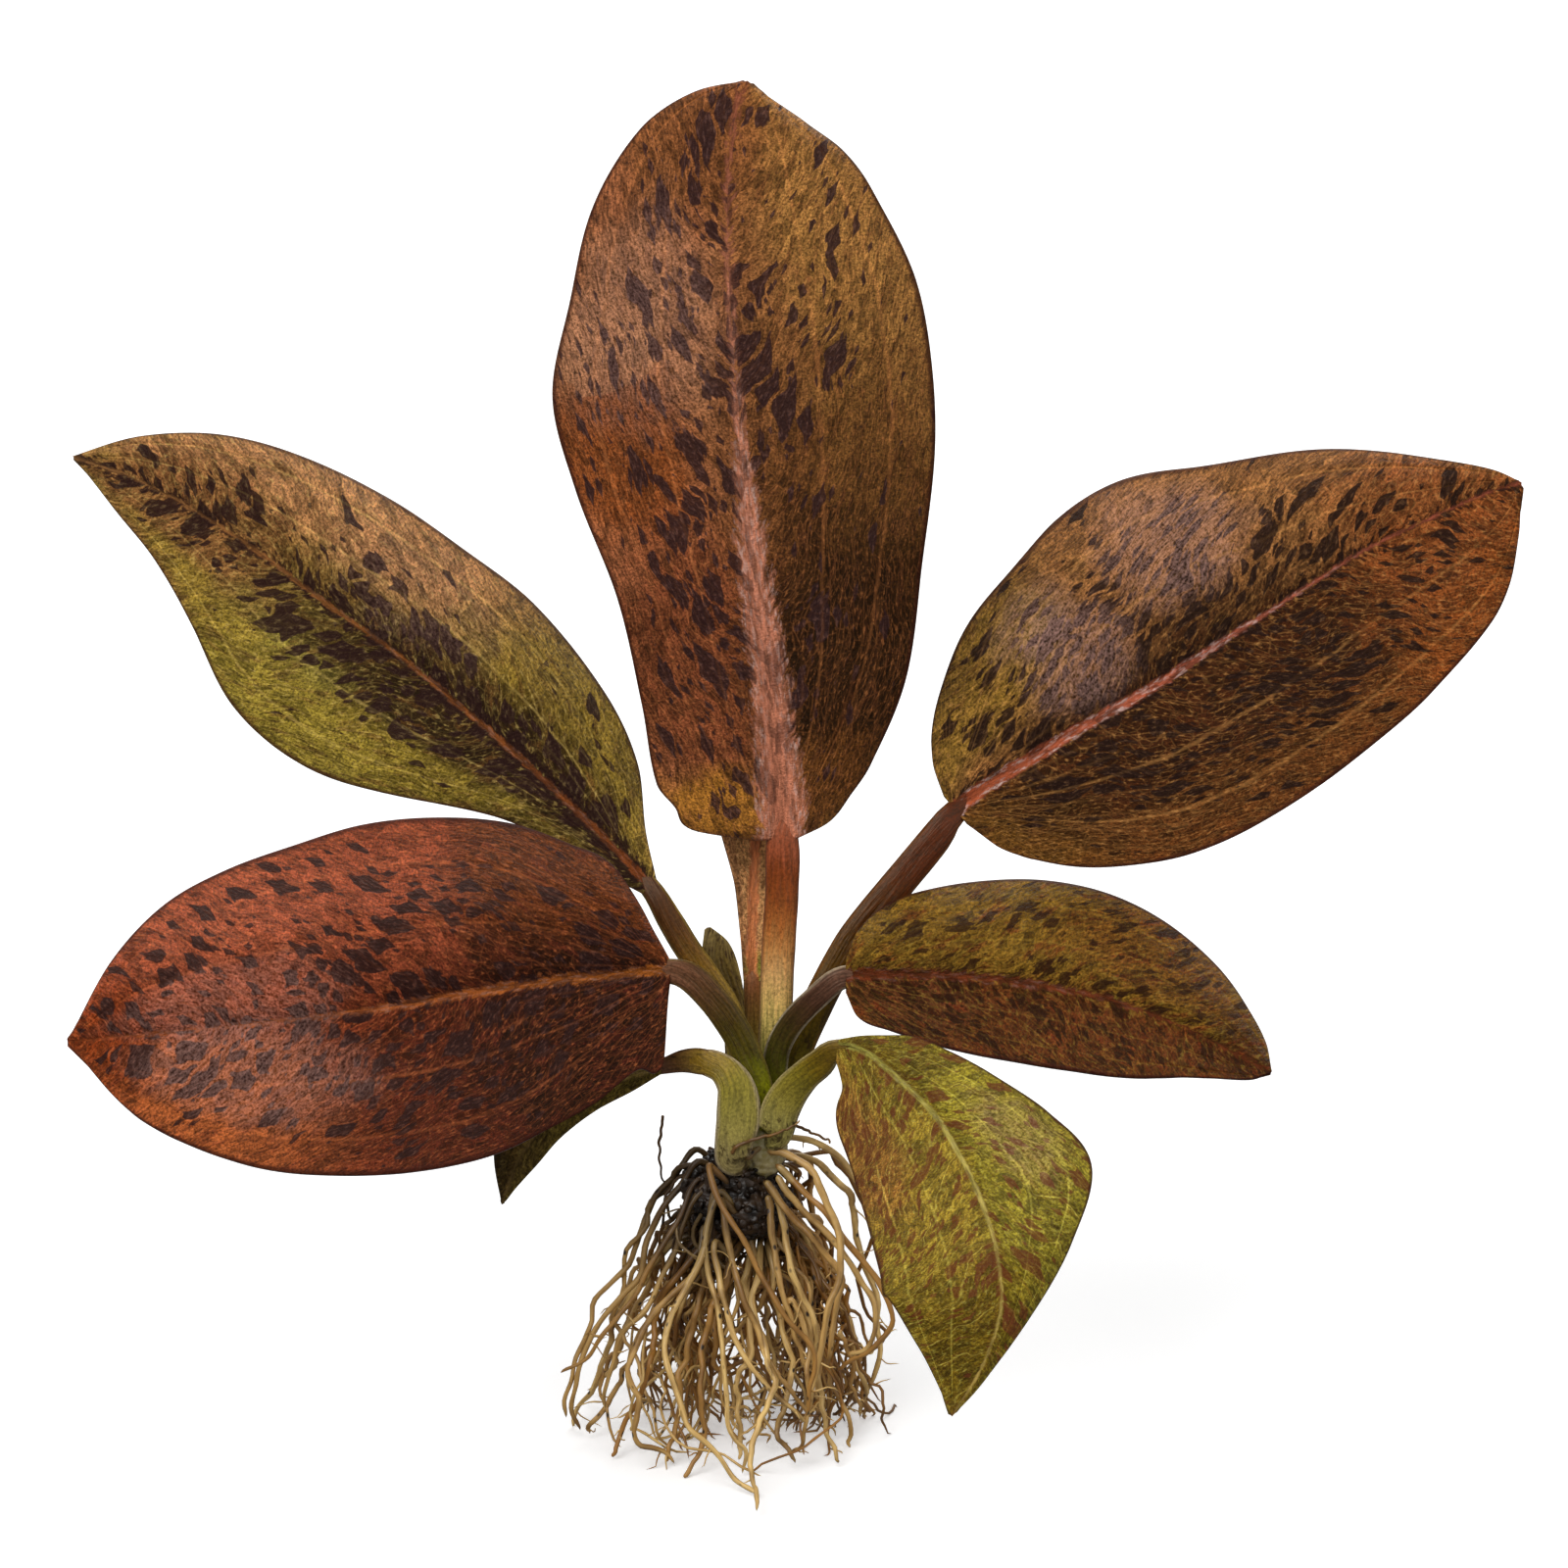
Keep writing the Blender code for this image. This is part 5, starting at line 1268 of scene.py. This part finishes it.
    # single fibres stand out pale, and the grain's single hollows are painted dark as shade
    pale = add(tree, "MapRange", (fibre, 0.56, 0.68, 0, 0.5))
    pale = add(tree, "Math", (pale, less_fibre), operation="MULTIPLY")
    base = add(tree, "Mix", {"Factor": pale, "A": base, "B": linear(look["veins"])}, data_type="RGBA")
    base = stained(tree, base, look["spots"], grain, 0.32, 0.44, 0.5, 0)

    # fine veins: close threads, walls of long cells and stronger side veins, each with a painted
    # shadow beside it
    fade = add(tree, "MapRange", (cloud, 0.38, 0.6, 1.0, 0.4))
    fade = add(tree, "Math", (fade, less_vein), operation="MULTIPLY")
    sway = stretched_noise(tree, climbing, (0.22, 0.1), 2)
    thread = add(tree, "Math", (sway, 3.0, cross), operation="MULTIPLY_ADD")
    thread = add(tree, "Math", (thread, THREAD_SPACING / 2), operation="PINGPONG")
    gaps = stretched_noise(tree, climbing, (1.0, 0.14), 1)
    gaps = add(tree, "MapRange", (gaps, 0.46, 0.56))
    gaps = add(tree, "Math", (gaps, fade), operation="MULTIPLY")
    net = add(tree, "TexVoronoi", {"Vector": net_place, "Scale": 1.0}, feature="DISTANCE_TO_EDGE")
    net = add(tree, "Math", (net, net_width), operation="MULTIPLY")
    spaced = add(tree, "MapRange", (cloud, 0, 1, -2.4, 2.4))
    spaced = add(tree, "Math", (cross, spaced), operation="ADD")
    spaced = add(tree, "Math", (spaced, SIDE_VEIN_SPACING / 2), operation="PINGPONG")
    lit = add(tree, "Mix", {"Factor": 1.0, "A": base, "B": (2.2, 2.2, 2.2, 1)},
              data_type="RGBA", blend_type="MULTIPLY")
    lit = add(tree, "Mix", {"Factor": 0.45, "A": lit, "B": linear(look["veins"])}, data_type="RGBA")
    for line, fine, shown, strength, shadow in (
            (thread, 0.09, gaps, look["threads"], 0.25), (net, 0.07, fade, netted, 0.0),
            (spaced, 0.12, fade, look["side_veins"], 0.6)):
        for colour, start, end, part in (
                (linear(look["mottle"]), fine, fine * 3.5, shadow), (lit, fine * 0.3, fine, 1.0)):
            drawn = add(tree, "MapRange", (line, start, end, strength * part, 0))
            drawn = add(tree, "Math", (drawn, shown), operation="MULTIPLY")
            base = add(tree, "Mix", {"Factor": drawn, "A": base, "B": colour}, data_type="RGBA")

    # long veins: they leave the midrib near the base and then keep their share of the width
    leave = add(tree, "Math", (along, -1 / VEINS_LEAVE, -VEINS_START / VEINS_LEAVE), operation="MULTIPLY_ADD")
    leave = add(tree, "Math", (math.e, leave), operation="POWER")
    leave = add(tree, "Math", (1.0, leave), operation="SUBTRACT")
    vein_share = add(tree, "Math", (reach, leave), operation="DIVIDE")
    vein_share = add(tree, "Math", (cloud, 0.05, vein_share), operation="MULTIPLY_ADD")
    for at in LONG_VEINS:
        off = add(tree, "Math", (vein_share, at + 0.025), operation="SUBTRACT")
        off = add(tree, "Math", (off,), operation="ABSOLUTE")
        line = add(tree, "MapRange", (off, 0.004, 0.016, look["long_veins"], 0))
        line = add(tree, "Math", (line, fade), operation="MULTIPLY")
        base = add(tree, "Mix", {"Factor": line, "A": base, "B": lit}, data_type="RGBA")
    # close to the base, finer veins fan out between them
    fan = add(tree, "Math", (vein_share, 0.075), operation="PINGPONG")
    fan = add(tree, "MapRange", (fan, 0.004, 0.02, 1, 0))
    near_base = add(tree, "MapRange", (along, 0.06, 0.3, 0.35, 0))
    fan = add(tree, "Math", (fan, near_base), operation="MULTIPLY")
    base = add(tree, "Mix", {"Factor": fan, "A": base, "B": lit}, data_type="RGBA")

    # midrib between dark flanks, feathered where the fine veins join it
    rib_start, rib_wide, rib_ends, rib_thin = look["rib"]
    width = add(tree, "MapRange", (along, 0, 0.25, rib_start / 2, rib_wide / 2))
    thinner = add(tree, "MapRange", (along, 0.28, rib_ends, 1, rib_thin / rib_wide),
                  interpolation_type="SMOOTHSTEP")
    width = add(tree, "Math", (width, thinner), operation="MULTIPLY")
    feather = stretched_noise(tree, climbing, (1.1, 0.1), 3, Roughness=0.6)
    feather = add(tree, "MapRange", (feather, 0.3, 0.7, -1, 1))
    edge = add(tree, "Math", (feather, look["feather"], reach_mm), operation="MULTIPLY_ADD")
    flank_deep, flank_reach = look["flank"]
    flank = add(tree, "Math", (feather, flank_reach * 0.9, reach_mm), operation="MULTIPLY_ADD")
    streaky = add(tree, "MapRange", (fibre, 0.35, 0.65, -0.8, 0.8))
    flank = add(tree, "Math", (flank, streaky), operation="ADD")
    flank_now = add(tree, "MapRange", (along, 0.2, 0.9, flank_reach, 0.3))
    flank = add(tree, "Math", (flank, flank_now), operation="SUBTRACT")
    base = stained(tree, base, look["spots"], flank, -0.3, 0.3, flank_deep, 0)
    rib_colour = colour_run(tree, look["midrib"], along)
    ridged = stretched_noise(tree, skin, (1.5, 0.22), 5, Roughness=0.65)
    rib_colour = dappled(tree, rib_colour, (ridged, 0.38, 0.62, 0.5, 1.5))
    # fine creases across the midrib, drawn only as painted shade
    painted_crease_shade = add(tree, "Math", (reach_mm, -1.3, along_mm), operation="MULTIPLY_ADD")
    painted_crease_shade = add(tree, "Math", (feather, 1.1, painted_crease_shade), operation="MULTIPLY_ADD")
    painted_crease_shade = add(tree, "Math", (painted_crease_shade, 0.5), operation="PINGPONG")
    rib_colour = stained(tree, rib_colour, look["spots"], painted_crease_shade, 0.02, 0.2, look["crease_shading"], 0)
    past = add(tree, "Math", (edge, width), operation="SUBTRACT")
    past = add(tree, "Math", (streaky, look["feather"] * 0.8, past), operation="MULTIPLY_ADD")
    on_rib = add(tree, "MapRange", (past, -0.2 * rib_wide, 0.1 * rib_wide, 0.95, 0))
    on_rib = add(tree, "Math", (on_rib, less_rib), operation="MULTIPLY")
    base = add(tree, "Mix", {"Factor": on_rib, "A": base, "B": rib_colour}, data_type="RGBA")

    # painted highlight: pale flecks where the midrib's shoulders catch the light, in its lower half
    glint = add(tree, "Math", (reach_mm, width), operation="SUBTRACT")
    glint = add(tree, "Math", (glint,), operation="ABSOLUTE")
    glint = add(tree, "MapRange", (glint, 0.2, look["glint_reach"], 1, 0))
    bright = stretched_noise(tree, skin, (2.0, 0.5), 4, Roughness=0.65)
    bright = add(tree, "MapRange", (bright, 0.5, 0.6, 0, look["glint"]))
    glint_ends = add(tree, "MapRange", (along, 0.45, 0.75, 1, 0))
    for limit in (bright, glint_ends, on_rib):
        glint = add(tree, "Math", (glint, limit), operation="MULTIPLY")
    base = add(tree, "Mix", {"Factor": glint, "A": base, "B": linear(PAINTED_RIB_GLINT)}, data_type="RGBA")

    # painted sheen in the looks' ovals, broken up by the fibres, with a few painted bright specks
    rough = add(tree, "Math", (fibre, grain), operation="ADD")
    for *oval, strength in look["painted_sheen_ovals"]:
        waxy = add(tree, "MapRange", (rough, 0.85, 1.2, 0.1, 1.1), clamp=False)
        waxy = add(tree, "Math", (waxy, patch(*oval, strength)), operation="MULTIPLY")
        base = add(tree, "Mix", {"Factor": waxy, "A": base, "B": linear(BLADE_PAINTED_SHEEN)}, data_type="RGBA")

    # thin dark margin, and the underside's own colour over all
    base = stained(tree, base, BLADE_MARGIN, reach, 0.965, 0.985, high=0.75)
    if not top:
        base = add(tree, "Mix", {"Factor": 0.6, "A": base, "B": linear(look["under"])}, data_type="RGBA")

    height = add(tree, "Math", (mottle, 1.5, rough), operation="MULTIPLY_ADD")
    bump = add(tree, "Bump", {"Height": height, "Strength": 0.7, "Distance": 0.0006})
    gloss = add(tree, "MapRange", (grain, 0.3, 0.7, 0.28 if top else 0.5, 0.5 if top else 0.7))
    tree.links.new(base, shader.inputs["Base Color"])
    tree.links.new(bump, shader.inputs["Normal"])
    tree.links.new(gloss, shader.inputs["Roughness"])
    shader.inputs["Specular IOR Level"].default_value = 0.2
    shader.inputs["Specular Tint"].default_value = linear("#ffd2a0")
    return material


def build_blade(name):
    """Blade with veined relief on top, the thickness of its wall and its own underside."""
    look = {**BLADE_BASICS, **BLADE_LOOKS[name]}
    rows = smoothed(BLADES[name], BLADE_STEPS)
    half = (BLADE_COLUMNS - 1) // 2
    lengths = lengths_along(rows)
    seed = len(name) * 3.1
    slant = math.radians(look["slant"])

    def at(column, row):
        share = (half - column) / half
        width = max(rows[row][3] if share > 0 else rows[row][4], 0)
        if row == BLADE_STEPS - 1:
            width = 0
        return share, width

    def relief(share, width, row):
        """Height in mm over the smooth blade: veins sink in, the skin between them swells and waves."""
        reach = abs(share)
        along = lengths[row] / lengths[-1]
        spread = reach / (1 - math.exp(-(along + VEINS_START) / VEINS_LEAVE))
        across = reach * width
        value = 0
        for vein in LONG_VEINS:
            value -= LONG_VEIN_DEPTH * math.exp(-((spread - vein) / 0.035) ** 2)
        phase = (across * math.cos(slant) - lengths[row] * math.sin(slant)) / SIDE_VEIN_SPACING
        side = 1 if share > 0 else -1
        phase += noise.noise(Vector((across * 0.08, lengths[row] * 0.08, seed + side)))
        value += SIDE_VEIN_DEPTH * math.sin(2 * math.pi * phase) * math.sin(math.pi * reach)
        value -= MIDRIB_DEPTH * math.exp(-(across / 1.5) ** 2) * (1 - along)
        value += SWELL * noise.noise(Vector((share * width * 0.09, lengths[row] * 0.09, seed))) * reach
        wave = math.sin(lengths[row] / 5.5 + seed + side) + 0.6 * math.sin(lengths[row] / 2.9 + seed * side)
        value += MARGIN_WAVE * wave * reach**5 * min(1, width / 8)
        return value * min(1, width / 4)

    def place(column, row):
        across, up, near, _, _, left_near, right_near = rows[row]
        share, width = at(column, row)
        lift = (left_near if share > 0 else right_near) if width else 0
        side = sideways(rows, row, BEND_WINDOW) * share * width
        arch = BLADE_ARCH * width * 4 * abs(share) * (1 - abs(share))
        near += lift * abs(share) ** MARGIN_BEND + arch + BLADE_LIFT + relief(share, width, row)
        return seen(across + side.x, up + side.y, near)

    def skin(column, row):
        share, width = at(column, row)
        return (share * width, lengths[row])

    def shares(column, row):
        return ((half - column) / half, lengths[row] / lengths[-1])

    mesh = bmesh.new()
    lay(mesh, BLADE_COLUMNS, BLADE_STEPS, place, {"skin_mm": skin, "skin_share": shares})
    materials = [blade_skin(name, look, True), blade_skin(name, look, False)]
    blade = piece_of(name.replace("_blade", "_leaf_blade"), mesh, materials, look["slot"], name, closed=False)
    shell = blade.modifiers.new("thickness", "SOLIDIFY")
    shell.thickness = BLADE_THICKNESS * MM
    shell.offset = -1
    shell.material_offset = 1
    shell.material_offset_rim = 0


def keel_of(name, width):
    """Rows of the ridge that the stalk makes under the blade, as far as it shows."""
    rows = []
    places = smoothed(BLADES[name], KEEL_STEPS)
    for index in range(1, KEEL_ROWS):
        across, up, near = places[index][:3]
        share = index / KEEL_ROWS
        size = width * (1 - share) + 0.4
        rows.append((across, up, near - 0.5 * size - 0.5, size, size * 0.8))
    return tuple(rows)


for blade_name in BLADES:
    build_blade(blade_name)

for stalk_name in STALKS:
    carried = stalk_name.replace("stalk", "blade")
    keel = ()
    if carried in BLADES:
        keel = keel_of(carried, min(KEEL_WIDTH, STALKS[stalk_name][-1][3] * 0.7))
    build_stalk(stalk_name, keel)

# ------------------------------------------------------------------ room
# A plain white studio floor with soft light from above and both sides, and the camera a little
# above the plant. The floor takes the plant's shadow, but throws no light or reflection on it.

FLOOR_SIZE = 8.0
FLOOR_GLOW = 0.3
ROOM_LIGHT = 0.24
# direction that it shines from, width in degrees, strength
SOFTBOXES = {
    "key_softbox": ((-0.5, -0.6, 0.9), 50, 2.3),
    "fill_softbox": ((0.8, -0.7, 0.5), 60, 0.9),
    "back_softbox": ((0.2, 0.8, 0.75), 40, 1.2),
}
CAMERA_LENS = 116.7
CAMERA_PLACE = (0.0034, -0.6599, 0.2820)
CAMERA_REACH = 30


def build_floor():
    """Sheet of matt white paper."""
    mesh = bmesh.new()
    bmesh.ops.create_grid(mesh, x_segments=1, y_segments=1, size=FLOOR_SIZE / 2)
    data = bpy.data.meshes.new("studio_floor")
    mesh.to_mesh(data)
    mesh.free()
    material, _, shader = new_material("matt_white_paper")
    shader.inputs["Base Color"].default_value = linear("#fafafa")
    shader.inputs["Roughness"].default_value = 0.9
    shader.inputs["Emission Color"].default_value = (1, 1, 1, 1)
    shader.inputs["Emission Strength"].default_value = FLOOR_GLOW
    data.materials.append(material)
    floor = bpy.data.objects.new("studio_floor", data)
    floor.visible_diffuse = False
    floor.visible_glossy = False
    bpy.context.scene.collection.objects.link(floor)


def soft_light(name, direction, spread, power):
    """Far soft box, as wide as spread in degrees, that shines from a direction."""
    lamp = bpy.data.lights.new(name, "SUN")
    lamp.angle = math.radians(spread)
    lamp.energy = power
    thing = bpy.data.objects.new(name, lamp)
    thing.rotation_euler = Vector(direction).to_track_quat("Z", "Y").to_euler()
    bpy.context.scene.collection.objects.link(thing)


build_floor()
for box_name, box in SOFTBOXES.items():
    soft_light(box_name, *box)

world = bpy.data.worlds.new("white_room")
world.use_nodes = True
world.node_tree.nodes["Background"].inputs["Color"].default_value = (1, 1, 1, 1)
world.node_tree.nodes["Background"].inputs["Strength"].default_value = ROOM_LIGHT
bpy.context.scene.world = world

lens = bpy.data.cameras.new("camera")
lens.lens = CAMERA_LENS
lens.clip_end = CAMERA_REACH
eye = bpy.data.objects.new("camera", lens)
eye.location = CAMERA_PLACE
eye.rotation_euler = (math.radians(90) - VIEW_TILT, 0, 0)
bpy.context.scene.collection.objects.link(eye)
bpy.context.scene.camera = eye
bpy.context.scene.view_settings.view_transform = "Standard"
